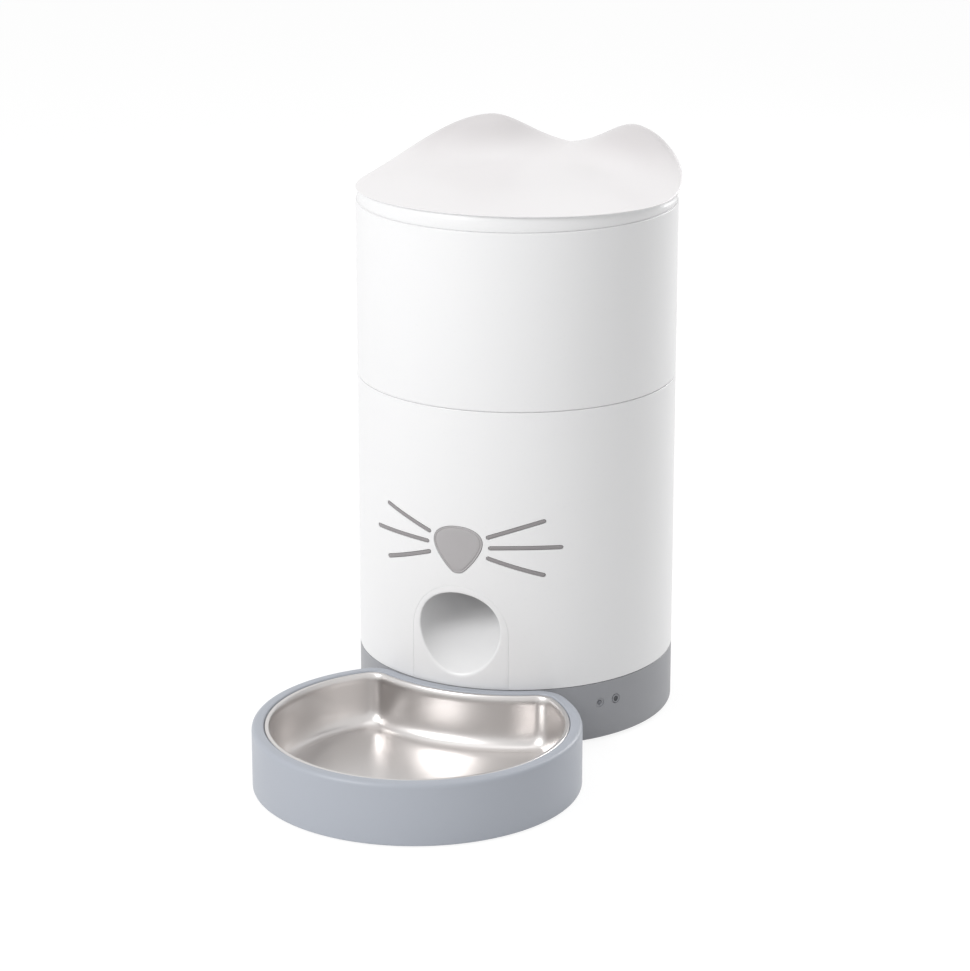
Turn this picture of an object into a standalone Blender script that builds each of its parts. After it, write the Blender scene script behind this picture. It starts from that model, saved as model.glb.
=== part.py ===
"""Automatic pet feeder: an eared lid, a food hopper, a rotor that meters the food, and a bowl.

The feeder stands on z = 0 and faces -Y. Its parts are laid out about the tower's upright
axis, and one empty moves them all so that the origin is below the middle of the whole.
"""

import math

import bmesh
import bpy
from mathutils import Matrix, Vector

mm = 0.001
degree = math.pi / 180
full_turn = 2 * math.pi

# Fits between pieces
fit_gap = 0.3 * mm
overrun = 6 * mm
weld_distance = 0.002 * mm
sharp_angle = 35 * degree

# Steps round turned pieces
shell_steps = 48
small_steps = 16
tiny_steps = 12
motor_steps = 28
screw_steps = 8

# Tower
body_radius = 95 * mm
shell_wall = 2.5 * mm
lower_shell_height = 168.9 * mm
hopper_height = 104 * mm
seam_gap = 0.6 * mm
lid_seam = 0.4 * mm

# Base
foot_height = 1.5 * mm
base_height = 35 * mm
base_floor = 2.5 * mm
base_edge = 1.5 * mm
spigot_height = 5.5 * mm
spigot_wall = 2.3 * mm
spigot_root = 3.5 * mm

base_low = foot_height
base_top = base_low + base_height
base_inside = base_low + base_floor
wall_inside = body_radius - shell_wall
spigot_radius = wall_inside - fit_gap
spigot_inside = spigot_radius - spigot_wall
lower_low = base_top + fit_gap
lower_top = lower_low + lower_shell_height
hopper_low = lower_top + seam_gap
hopper_top = hopper_low + hopper_height
lid_low = hopper_top + lid_seam

# Rubber feet of the tower
foot_radius = 8 * mm
foot_recess = 1 * mm
foot_inset = 21 * mm
foot_angles = (38, 142, 218, 322)

foot_place = body_radius - foot_inset

# Screws
screw_radius = 1.4 * mm
screw_head = 2.8 * mm
screw_head_height = 1.8 * mm
screw_room = 0.4 * mm

# Towers in the base and bosses in the lower shell for the base screws
base_screw_angles = (80, 150, 210, 280)
base_screw_inset = 5.9 * mm
tower_radius = 5 * mm
tower_shelf = 3 * mm
tower_head_room = 3.4 * mm
boss_radius = 4.6 * mm
boss_inset = 3.6 * mm
boss_height = 17 * mm
base_screw_length = 12 * mm

base_screw_place = wall_inside - base_screw_inset
boss_place = wall_inside - boss_inset

# Metering deck, on a ledge inside the lower shell
ledge_height = 81.2 * mm
ledge_width = 6.5 * mm
ledge_thickness = 2 * mm
deck_thickness = 3 * mm
chamber_inset = 19.8 * mm
chamber_wall = 2.5 * mm
chamber_height = 37 * mm
deck_hub_radius = 9 * mm
deck_hub_drop = 5.4 * mm
deck_screw_angles = (30, 150, 270)
deck_screw_inset = 3.5 * mm
deck_boss_radius = 4 * mm
deck_boss_height = 11 * mm
deck_screw_length = 9 * mm

ledge_top = base_top + ledge_height
deck_low = ledge_top + fit_gap
deck_top = deck_low + deck_thickness
chamber_top = deck_top + chamber_height
chamber_radius = wall_inside - chamber_inset
deck_screw_place = wall_inside - deck_screw_inset

# Rotor, its shaft and what rides on it
vane_count = 8
vane_thickness = 2 * mm
rotor_height = 25.4 * mm
rotor_hub = 11 * mm
rotor_clearance = 1.4 * mm
rotor_lift = 0.6 * mm
shaft_radius = 3 * mm
shaft_gap = 0.3 * mm
shaft_foot = 22 * mm
stirrer_neck = 5.5 * mm
stirrer_cone = 7 * mm
stirrer_tip = 6 * mm
stirrer_room = 14 * mm
stirrer_arm_width = 6 * mm
stirrer_arm_height = 3 * mm
stirrer_arm_lift = 3.4 * mm
stirrer_arms = 3
guard_thickness = 1.8 * mm
guard_inner = 16 * mm
guard_half_angle = 50
guard_steps = 14
bush_radius = 5 * mm
bush_stand = 0.5 * mm

rotor_radius = chamber_radius - rotor_clearance
rotor_low = deck_top + rotor_lift
rotor_top = rotor_low + rotor_height
guard_low = rotor_top + rotor_lift
guard_top = guard_low + guard_thickness
shaft_bore = shaft_radius + shaft_gap

# Gears, bracket and motor
gear_module = 1.3 * mm
gear_teeth = 30
pinion_teeth = 12
tooth_root_share = 0.56
tooth_tip_share = 0.24
addendum_share = 0.8
dedendum_share = 1.2
gear_height = 6 * mm
gear_drop = 3.6 * mm
pinion_hub = 4.6 * mm
pinion_hub_height = 2.4 * mm
pinion_shaft = 2.5 * mm
bracket_drop = 17.5 * mm
bracket_thickness = 2.5 * mm
bracket_margin = 6 * mm
bracket_corner_steps = 5
post_radius = 4 * mm
post_spread = 22 * mm
post_front = 15 * mm
post_rear = 52 * mm
bracket_screw_length = 8 * mm
gearbox_radius = 18 * mm
gearbox_height = 26 * mm
motor_radius = 14 * mm
motor_height = 27 * mm
motor_cap_radius = 5 * mm
motor_cap_height = 2 * mm
motor_boss_radius = 6 * mm

gear_distance = gear_module * (gear_teeth + pinion_teeth) / 2
gear_top = deck_low - deck_hub_drop - gear_drop
gear_low = gear_top - gear_height
bracket_top = deck_low - bracket_drop
bracket_low = bracket_top - bracket_thickness
shaft_low = deck_low - shaft_foot

# Food outlet, spout and mouth
outlet_inset = 18.7 * mm
outlet_half_width = 22 * mm
outlet_half_depth = 16 * mm
collar_wall = 1.7 * mm
collar_drop = 7.2 * mm
spout_drop = 3.5 * mm
spout_wall = 2 * mm
mouth_radius = 25 * mm
mouth_rise = 32.5 * mm
spout_slope = 40 * degree
spout_turn_steps = 4
spout_sides = 24
arch_radius = 30 * mm
arch_steps = 17

outlet_place = chamber_radius - outlet_inset
mouth_height = base_top + mouth_rise
spout_top = deck_low - spout_drop

# Nose and whiskers, let into the front
inlay_depth = 0.9 * mm
inlay_proud = 0.15 * mm
nose_width = 30 * mm
nose_height = 28.4 * mm
nose_rise = 70.6 * mm
nose_outline_shares = (
    (0, 1), (0.3, 0.99), (0.55, 0.955), (0.76, 0.9), (0.92, 0.815), (1, 0.7),
    (0.97, 0.57), (0.86, 0.44), (0.69, 0.3), (0.48, 0.165), (0.27, 0.055), (0.12, 0.01),
)
whisker_width = 2.8 * mm
whisker_steps = 4
whisker_end_steps = 2
whisker_span = 58.4 * mm
whisker_rise = 87.6 * mm
whisker_spread = 16.6 * mm
whisker_sag = 0.7 * mm
# Each whisker's inner end, outer end and sag, as shares of the span, the spread and the sag
whisker_shares = (
    ("upper", (0.298, 0.367), (0.854, 1), 1),
    ("middle", (0.322, 0), (1, 0), 0.43),
    ("lower", (0.301, -0.373), (0.853, -0.994), 1),
)

# Hopper
hopper_spigot_height = 8.3 * mm
hopper_ledge = 2.5 * mm
funnel_lip = 7.4 * mm
funnel_seat = 0.5 * mm
funnel_neck_inset = 2.7 * mm
funnel_neck_height = 30 * mm
funnel_wall = 2.4 * mm
funnel_shoulder = 5 * mm
funnel_neck_lift = 0.6 * mm

funnel_neck = chamber_radius - funnel_neck_inset
stirrer_reach = funnel_neck - stirrer_room
funnel_low = guard_top + funnel_neck_lift
funnel_flange_low = hopper_low + hopper_ledge + fit_gap

# Lid
lid_skirt_step = 0.8 * mm
lid_skirt_wall = 1.9 * mm
lid_wall = 2.2 * mm
lid_crease_front = 9.6 * mm
lid_crease_back = 1.3 * mm
lid_crease_edge = 0.8 * mm
lid_front_rise = 10.3 * mm
lid_middle_rise = 8.6 * mm
lid_side_rise = 6.8 * mm
lid_back_rise = 17.5 * mm
ear_height = 23 * mm
ear_angle = 148
ear_front_spread = 31
ear_back_spread = 20
ear_start_share = 0.55
ear_bulge = 6.2 * mm
ear_bulge_angle = 120
ear_bulge_spread = 24
ear_bulge_power_share = 0.8
lid_front_round_share = 5.2
lid_back_round_share = 7.9
lid_row_shares = (0.998, 0.988, 0.965, 0.925, 0.87, 0.8, 0.71, 0.6, 0.45, 0.24)
lid_inner_row_shares = (0.95, 0.82, 0.64, 0.36)

# Lid liner, seal and drying pack
liner_lift = 0.3 * mm
liner_thickness = 1.5 * mm
plug_room = 2 * mm
plug_wall = 2 * mm
plug_depth = 10.9 * mm
plug_lip = 1 * mm
plug_lip_height = 2.6 * mm
seal_height = 3.5 * mm
cup_radius = 30 * mm
cup_wall = 2 * mm
cup_depth = 20 * mm
pack_height = 13 * mm
pack_edge = 1.5 * mm
cap_wall = 2 * mm
cap_height = 10 * mm
cap_floor = 2 * mm
cap_slots = 6
cap_slot_inner = 9 * mm
cap_slot_outer = 22 * mm
cap_slot_width = 3.2 * mm
cap_grip_length = 34 * mm
cap_grip_width = 4 * mm
cap_grip_height = 6 * mm

plug_radius = wall_inside - plug_room
liner_low = lid_low + liner_lift
liner_top = liner_low + liner_thickness

# Indicator and button, on the right of the base's front
control_height = 22.5 * mm
light_angle = 52.6
button_angle = 59.7
control_recess = 3 * mm
control_recess_depth = 0.5 * mm
light_radius = 1.2 * mm
light_hole = 1.5 * mm
light_flange = 2.6 * mm
light_flange_length = 1.2 * mm
button_radius = 2.5 * mm
button_hole = 2.8 * mm
button_travel = 0.8 * mm
button_length = 4.8 * mm
button_flange = 3.6 * mm
button_flange_length = 1.2 * mm
button_dimple = 1.1 * mm
button_dimple_depth = 0.4 * mm
key_board_width = 22 * mm
key_board_height = 14 * mm
key_board_thickness = 1.6 * mm
key_board_gap = 3.2 * mm
key_switch_radius = 2 * mm
key_switch_gap = 0.4 * mm
key_post_width = 5 * mm

# Control board
board_width = 54 * mm
board_length = 60 * mm
board_thickness = 1.6 * mm
board_height = 8 * mm
board_x = 40 * mm
board_y = 6 * mm
board_post = 2.5 * mm
board_post_inset = 5 * mm
module_size = (18 * mm, 24 * mm, 3 * mm)
socket_size = (8 * mm, 14 * mm, 6 * mm)
capacitor_radius = 4 * mm
capacitor_height = 12 * mm
board_sink = 0.4 * mm

# Power inlet, at the back of the base
inlet_angle = 180
inlet_height = 15 * mm
inlet_face = 5.6 * mm
inlet_hole = 5.9 * mm
inlet_socket = 3.2 * mm
inlet_pin = 1 * mm
inlet_depth = 9 * mm
inlet_width = 13 * mm
inlet_block = 11 * mm
inlet_step = 0.6 * mm
inlet_saddle = 2 * mm

# Battery bay, in the floor of the base
cell_radius = 7.1 * mm
cell_length = 49.4 * mm
cell_tip_radius = 2.7 * mm
cell_tip = 1.1 * mm
cell_pitch = 14.6 * mm
cell_count = 4
contact_thickness = 0.8 * mm
contact_height = 11 * mm
tray_wall = 2.6 * mm
tray_roof = 1.6 * mm
tray_room = 0.5 * mm
bay_x = -33 * mm
bay_y = 6 * mm
door_lap = 1.2 * mm
door_sink = 0.3 * mm
door_notch_width = 12 * mm
door_notch_length = 6 * mm
door_notch_depth = 1.2 * mm

# Bowl holder and dish
bowl_inset = 0.5 * mm
bowl_reach = 61.8 * mm
bowl_gap = 0.5 * mm
bowl_height = 37.5 * mm
bowl_low = 0.8 * mm
bowl_corner = 18 * mm
bowl_arc_steps = 28
bowl_notch_steps = 8
bowl_corner_steps = 4
bowl_wall = 2.4 * mm
rim_width = 7 * mm
ledge_step = 1.8 * mm
rim_drop = 2.9 * mm
rim_crown_shares = ((0, 1.5), (0.1, 0.55), (0.3, 0.12), (0.55, 0), (0.8, 0.14), (0.97, 0.6), (1, 1))
pocket_floor = 3 * mm
pocket_floor_thickness = 2 * mm
pad_radius = 7 * mm
pad_inset = 28.5 * mm
pad_angles = (0, 125, 235)
tongue_width = 40 * mm
tongue_height = 3 * mm
tongue_rise = 7 * mm
tongue_reach = 10 * mm
tongue_room = 0.5 * mm
dish_thickness = 0.8 * mm
dish_bead = 1.6 * mm
dish_bead_rise = 1.2 * mm
dish_floor_inset = 19 * mm
dish_wall_shares = ((0.25, 0.45), (0.5, 0.12))
dish_floor_height = 5.6 * mm
dish_corner = 10 * mm

bowl_radius = body_radius - bowl_inset
bowl_distance = body_radius + bowl_reach
pad_place = bowl_radius - pad_inset

# The frame's origin is below the middle of the feeder's length
tower_shift = (bowl_distance + bowl_radius - body_radius) / 2


def remove_everything():
    """Clear the scene."""
    for old in list(bpy.data.objects):
        bpy.data.objects.remove(old, do_unlink=True)


def finish(name, colour, roughness, metallic=0.0):
    """A Principled material."""
    made = bpy.data.materials.new(name)
    made.use_nodes = True
    shader = made.node_tree.nodes["Principled BSDF"]
    shader.inputs["Base Color"].default_value = (*colour, 1)
    shader.inputs["Roughness"].default_value = roughness
    shader.inputs["Metallic"].default_value = metallic
    made.diffuse_color = (*colour, 1)
    return made


class Carrier:
    """An empty on a joint's axis that carries every piece that moves on that joint."""

    def __init__(self, name, place, parent=None):
        self.place = Vector(place)
        self.empty = bpy.data.objects.new(name, None)
        bpy.context.scene.collection.objects.link(self.empty)
        if parent:
            self.empty.parent = parent.empty
            self.empty.location = self.place - parent.place
        else:
            self.empty.location = (0, tower_shift, 0)

    def add(self, name, shape, material):
        """Make the shape, drawn about the tower's axis, an object that this empty carries."""
        bmesh.ops.recalc_face_normals(shape, faces=shape.faces)
        bmesh.ops.translate(shape, verts=shape.verts, vec=-self.place)
        mesh = bpy.data.meshes.new(name)
        shape.to_mesh(mesh)
        shape.free()
        mesh.shade_smooth()
        mesh.set_sharp_from_angle(angle=sharp_angle)
        mesh.materials.append(material)
        made = bpy.data.objects.new(name, mesh)
        bpy.context.scene.collection.objects.link(made)
        made.parent = self.empty
        return made

    def tool(self, name, shape):
        """Make the shape a hidden helper for a Boolean."""
        made = self.add(name, shape, helper_finish)
        made.hide_render = True
        made.display_type = "WIRE"
        return made


def combine(target, tool, operation):
    """Join, cut or keep what the tool covers."""
    step = target.modifiers.new(f"{operation.lower()} {tool.name}", "BOOLEAN")
    step.operation = operation
    step.object = tool
    step.solver = "EXACT"


def joined(*shapes):
    """Several shapes in one bmesh."""
    whole = bmesh.new()
    for shape in shapes:
        mesh = bpy.data.meshes.new("part of a shape")
        bmesh.ops.recalc_face_normals(shape, faces=shape.faces)
        shape.to_mesh(mesh)
        shape.free()
        whole.from_mesh(mesh)
        bpy.data.meshes.remove(mesh)
    return whole


def moved(shape, place=(0, 0, 0), turn=0.0, axis="Z"):
    """The shape turned about an axis through the origin, and then moved."""
    matrix = Matrix.Translation(Vector(place)) @ Matrix.Rotation(turn, 4, axis)
    bmesh.ops.transform(shape, matrix=matrix, verts=shape.verts)
    return shape


def turned(section, steps=shell_steps):
    """A solid turned about Z from the (radius, height) points that run round its section."""
    shape = bmesh.new()
    points = [shape.verts.new((radius, 0, height)) for radius, height in section]
    edges = [shape.edges.new(pair) for pair in zip(points, points[1:])]
    if section[0][0] or section[-1][0]:
        edges.append(shape.edges.new((points[-1], points[0])))
    bmesh.ops.spin(
        shape, geom=points + edges, cent=(0, 0, 0), axis=(0, 0, 1), angle=full_turn,
        steps=steps, use_merge=True,
    )
    bmesh.ops.remove_doubles(shape, verts=shape.verts, dist=weld_distance)
    return shape


def disc(radius, low, high, steps=small_steps):
    """An upright cylinder."""
    return turned(((0, low), (radius, low), (radius, high), (0, high)), steps)


def ring(inner, outer, low, high, steps=shell_steps):
    """An upright tube."""
    return turned(((outer, high), (outer, low), (inner, low), (inner, high)), steps)


def prism(outline, low, high):
    """A solid with one flat outline of (x, y) points."""
    shape = bmesh.new()
    face = shape.faces.new([shape.verts.new((x, y, low)) for x, y in outline])
    raised = bmesh.ops.extrude_face_region(shape, geom=[face])
    corners = [part for part in raised["geom"] if isinstance(part, bmesh.types.BMVert)]
    bmesh.ops.translate(shape, verts=corners, vec=(0, 0, high - low))
    return shape


def block(size, middle):
    """A box from its size and the middle of its underside."""
    width, length, height = size
    x, y, low = middle
    outline = [(x + a * width / 2, y + b * length / 2) for a, b in ((-1, -1), (1, -1), (1, 1), (-1, 1))]
    return prism(outline, low, low + height)


def front_prism(outline, near, far):
    """A solid with one outline of (x, z) points, seen from the front, between two depths."""
    shape = prism(outline, near, far)
    return moved(shape, turn=math.pi / 2, axis="X")


def lofted(rings):
    """A closed solid through rings of points of one length, with a flat cap at each end."""
    shape = bmesh.new()
    rows = [[shape.verts.new(point) for point in ring_points] for ring_points in rings]
    count = len(rows[0])
    for lower, upper in zip(rows, rows[1:]):
        for i in range(count):
            j = (i + 1) % count
            shape.faces.new((lower[i], lower[j], upper[j], upper[i]))
    shape.faces.new(rows[0])
    shape.faces.new(rows[-1])
    return shape


def around(angle, radius, height=0.0):
    """A point at so many degrees from the front, towards +X."""
    return Vector((radius * math.sin(angle * degree), -radius * math.cos(angle * degree), height))


def radial(shape, angle, height):
    """Lay a shape that is drawn up the Z axis out from the tower's axis instead."""
    moved(shape, turn=math.pi / 2, axis="X")
    return moved(shape, place=(0, 0, height), turn=angle * degree)


def screw_shape(length):
    """A screw, its point up, with its head's top at height 0."""
    return turned(
        (
            (0, 0),
            (screw_head, 0),
            (screw_head, screw_head_height),
            (screw_radius, screw_head_height),
            (screw_radius, screw_head_height + length - screw_radius),
            (0, screw_head_height + length),
        ),
        screw_steps,
    )


def ellipse(half_width, half_depth, place, height, steps=spout_sides):
    """Points of a level ellipse whose middle is in front of the axis."""
    return [
        Vector((
            half_width * math.cos(full_turn * i / steps),
            -place + half_depth * math.sin(full_turn * i / steps),
            height,
        ))
        for i in range(steps)
    ]


def make_base():
    """The base shell, with the towers, posts, holes and recesses that its pieces need."""
    shell = tower.add("base_shell", turned((
        (0, base_low),
        (body_radius - base_edge, base_low),
        (body_radius, base_low + base_edge),
        (body_radius, base_top),
        (spigot_radius, base_top),
        (spigot_radius, base_top + spigot_height),
        (spigot_inside, base_top + spigot_height),
        (spigot_inside, base_top),
        (wall_inside, base_top - spigot_root),
        (wall_inside, base_inside),
        (0, base_inside),
    )), grey_plastic)

    foot_top = base_low + foot_recess
    in_floor = base_low + base_floor / 2
    towers = [
        moved(disc(tower_radius, in_floor, tower_top, tiny_steps), around(angle, base_screw_place))
        for angle in base_screw_angles
    ]
    posts = [
        moved(disc(board_post, in_floor, base_inside + board_height, screw_steps),
              (board_x + a * (board_width / 2 - board_post_inset),
               board_y + b * (board_length / 2 - board_post_inset), 0))
        for a in (-1, 1) for b in (-1, 1)
    ]
    saddle = block((inlet_width, inlet_block, inlet_saddle + base_floor / 2), (0, inlet_middle, in_floor))
    key_posts = [
        moved(block((key_post_width, key_post_depth, control_height),
                    (side * (key_board_width - key_post_width) / 2, -key_post_place, in_floor)),
              turn=key_angle * degree)
        for side in (-1, 1)
    ]
    combine(shell, tower.tool("base_posts", joined(*towers, *posts, saddle, *key_posts)), "UNION")

    shelf = tower_top - tower_shelf
    screw_cuts = [
        moved(turned((
            (0, base_low - overrun),
            (tower_head_room, base_low - overrun),
            (tower_head_room, shelf),
            (screw_radius + screw_room, shelf),
            (screw_radius + screw_room, tower_top + overrun),
            (0, tower_top + overrun),
        ), screw_steps), around(angle, base_screw_place))
        for angle in base_screw_angles
    ]
    foot_cuts = [
        moved(disc(foot_radius + fit_gap, base_low - overrun, foot_top), around(angle, foot_place))
        for angle in foot_angles
    ]
    bay_cut = block(
        (bay_width + 2 * door_lap, bay_length + 2 * door_lap, base_floor + 2 * overrun),
        (bay_x, bay_y, base_low - overrun),
    )
    inlet_cut = radial(disc(inlet_hole, wall_inside - overrun, body_radius + overrun),
                       inlet_angle, inlet_middle_height)
    light_cut = radial(turned((
        (0, wall_inside - overrun),
        (light_hole, wall_inside - overrun),
        (light_hole, body_radius - control_recess_depth),
        (control_recess, body_radius - control_recess_depth),
        (control_recess, body_radius + overrun),
        (0, body_radius + overrun),
    ), small_steps), light_angle, control_level)
    button_cut = radial(
        disc(button_hole, wall_inside - overrun, body_radius + overrun), button_angle, control_level
    )
    slot_cut = block(
        (tongue_width + 2 * tongue_room, 3 * shell_wall + overrun, tongue_height + 2 * tongue_room),
        (0, -body_radius, bowl_low + tongue_rise - tongue_room),
    )
    cuts = joined(*screw_cuts, *foot_cuts, bay_cut, inlet_cut, light_cut, button_cut, slot_cut)
    combine(shell, tower.tool("base_cuts", cuts), "DIFFERENCE")


def make_feet_and_base_screws():
    """The rubber feet and the screws that hold the base to the lower shell."""
    for number, angle in enumerate(foot_angles, 1):
        top = base_low + foot_recess - fit_gap
        section = (
            (0, 0), (foot_radius - base_edge, 0), (foot_radius, base_edge), (foot_radius, top), (0, top),
        )
        foot = moved(turned(section, small_steps), around(angle, foot_place))
        tower.add(f"base_foot_{number}", foot, black_rubber)
    head_low = tower_top - tower_shelf - fit_gap - screw_head_height
    for number, angle in enumerate(base_screw_angles, 1):
        screw = moved(screw_shape(base_screw_length), around(angle, base_screw_place, head_low))
        tower.add(f"base_screw_{number}", screw, steel)


def whisker_outline(inner, outer, sag, side, margin=0.0):
    """The outline of one whisker, bowed and round at both ends."""
    start, end = (
        Vector((side * x * whisker_span, base_top + whisker_rise + z * whisker_spread))
        for x, z in (inner, outer)
    )
    along = (end - start).normalized()
    across = Vector((-along.y, along.x)) * side
    half = whisker_width / 2 + margin
    middles = []
    for i in range(whisker_steps + 1):
        t = i / whisker_steps
        middles.append(start.lerp(end, t) - across * (4 * t * (1 - t) * sag * whisker_sag))
    upper = [point + across * half for point in middles]
    lower = [point - across * half for point in reversed(middles)]
    arcs = [math.pi * (i + 1) / (whisker_end_steps + 1) for i in range(whisker_end_steps)]
    far_end = [middles[-1] + across * half * math.cos(a) + along * half * math.sin(a) for a in arcs]
    near_end = [middles[0] - across * half * math.cos(a) - along * half * math.sin(a) for a in arcs]
    return [tuple(point) for point in upper + far_end + lower + near_end]


def nose_outline(margin=0.0):
    """The nose's outline, wider by the margin all round."""
    width = nose_width / 2 + margin
    height = nose_height + 2 * margin
    low = base_top + nose_rise - margin
    right = [(x * width, low + z * height) for x, z in nose_outline_shares]
    left = [(-x, z) for x, z in reversed(right[1:])]
    return right + left


def arch_outline(margin, low):
    """A panel with straight sides and a round top about the mouth's middle."""
    radius = arch_radius + margin
    angles = [math.pi * i / arch_steps for i in range(arch_steps + 1)]
    top = [(radius * math.cos(a), mouth_height + radius * math.sin(a)) for a in angles]
    return top + [(-radius, low), (radius, low)]


def make_lower_shell():
    """The white wall between the base and the hopper, with its ledge, bosses and openings."""
    ledge_inside = wall_inside - ledge_width
    shell = tower.add("lower_shell", turned((
        (body_radius, lower_top),
        (body_radius, lower_low),
        (wall_inside, lower_low),
        (wall_inside, ledge_top - ledge_thickness - ledge_width),
        (ledge_inside, ledge_top - ledge_thickness),
        (ledge_inside, ledge_top),
        (wall_inside, ledge_top),
        (wall_inside, lower_top),
    )), white_plastic)
    boss_low = base_top + spigot_height + fit_gap
    bosses = [
        moved(disc(boss_radius, boss_low, boss_low + boss_height, tiny_steps), around(angle, boss_place))
        for angle in base_screw_angles
    ]
    deck_boss_top = ledge_top - ledge_thickness / 2
    bosses += [
        moved(disc(deck_boss_radius, deck_boss_top - deck_boss_height, deck_boss_top, tiny_steps),
              around(angle, deck_screw_place))
        for angle in deck_screw_angles
    ]
    combine(shell, tower.tool("shell_bosses", joined(*bosses)), "UNION")
    pilot = screw_radius + fit_gap
    holes = [
        moved(disc(pilot, boss_low - overrun, boss_low + boss_height - screw_head, screw_steps),
              around(angle, base_screw_place))
        for angle in base_screw_angles
    ]
    hole_low = deck_low - deck_screw_length
    holes += [
        moved(disc(pilot, hole_low, ledge_top + overrun, screw_steps),
              around(angle, deck_screw_place))
        for angle in deck_screw_angles
    ]
    arch = front_prism(arch_outline(fit_gap, lower_low - overrun), wall_inside - 2 * overrun,
                       body_radius + overrun)
    combine(shell, tower.tool("shell_holes", joined(arch, *holes)), "DIFFERENCE")
    pockets = tower.tool("inlay_pockets", ring(
        body_radius - inlay_depth - fit_gap, body_radius + overrun, mouth_height, lower_top))
    outlines = [nose_outline(fit_gap)]
    for _, inner, outer, sag in whisker_shares:
        outlines += [whisker_outline(inner, outer, sag, side, fit_gap) for side in (-1, 1)]
    windows = [front_prism(outline, overrun, body_radius + 2 * overrun) for outline in outlines]
    combine(pockets, tower.tool("inlay_windows", joined(*windows)), "INTERSECT")
    combine(shell, pockets, "DIFFERENCE")


def make_inlay(name, outline, colour):
    """A thin curved inlay that follows the wall, cut to an outline seen from the front."""
    heights = [z for _, z in outline]
    inlay = tower.add(name, ring(
        body_radius - inlay_depth, body_radius + inlay_proud,
        min(heights) - overrun, max(heights) + overrun), colour)
    window = front_prism(outline, overrun, body_radius + overrun)
    combine(inlay, tower.tool(f"{name}_window", window), "INTERSECT")


def make_face():
    """The nose and the six whiskers."""
    make_inlay("nose_inlay", nose_outline(), nose_plastic)
    for place, inner, outer, sag in whisker_shares:
        for word, side in (("left", -1), ("right", 1)):
            outline = whisker_outline(inner, outer, sag, side)
            make_inlay(f"whisker_{place}_{word}", outline, whisker_plastic)


def spout_ring(middle_y, middle_z, slope, half_width, half_depth):
    """A ring of the spout: across the tower in x, and square to the way down in the other axis."""
    points = []
    for i in range(spout_sides):
        # Half a step round, so that no point meets the wall's edge on the middle line
        angle = full_turn * (i + 1 / 2) / spout_sides
        depth = half_depth * math.sin(angle)
        points.append(Vector((
            half_width * math.cos(angle),
            middle_y + depth * math.sin(slope),
            middle_z - depth * math.cos(slope),
        )))
    return points


def spout_rings(grow, above, beyond):
    """Rings down the food's way: straight down, round a bend, and out along the slope."""
    drop = spout_top - mouth_height
    run = body_radius - outlet_place
    sine, cosine = math.sin(spout_slope), math.cos(spout_slope)
    # The bend and the straight together cover the run and the drop
    straight = (run * cosine - drop * (1 - sine)) / (cosine * cosine - sine * (1 - sine))
    bend = (drop - straight * sine) / cosine
    width = mouth_radius + grow
    depth = mouth_radius * cosine + grow
    rings = []
    if above:
        rings.append(spout_ring(-outlet_place, spout_top + above, math.pi / 2, width, depth))
    for i in range(spout_turn_steps + 1):
        turn = (math.pi / 2 - spout_slope) * i / spout_turn_steps
        y = -outlet_place - bend * (1 - math.cos(turn))
        z = spout_top - bend * math.sin(turn)
        rings.append(spout_ring(y, z, math.pi / 2 - turn, width, depth))
    reach = straight + beyond
    y, z = y - reach * cosine, z - reach * sine
    rings.append(spout_ring(y, z, spout_slope, width, depth))
    return rings


def make_mouth():
    """The arched panel with the round mouth and the spout that brings the food to it."""
    panel = tower.add("mouth_panel", ring(
        wall_inside, body_radius, lower_low, mouth_height + arch_radius + overrun), white_plastic)
    arch = front_prism(arch_outline(0, lower_low - overrun), overrun, body_radius + overrun)
    combine(panel, tower.tool("panel_arch", arch), "INTERSECT")
    outer = tower.tool("spout_outside", lofted(spout_rings(spout_wall, 0, mouth_radius)))
    inside_wall = tower.tool("spout_limit", disc(
        body_radius - shell_wall / 2, lower_low, deck_top, shell_steps))
    combine(outer, inside_wall, "INTERSECT")
    combine(panel, outer, "UNION")
    inner = tower.tool("spout_inside", lofted(spout_rings(0, overrun, mouth_radius)))
    combine(panel, inner, "DIFFERENCE")


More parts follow.
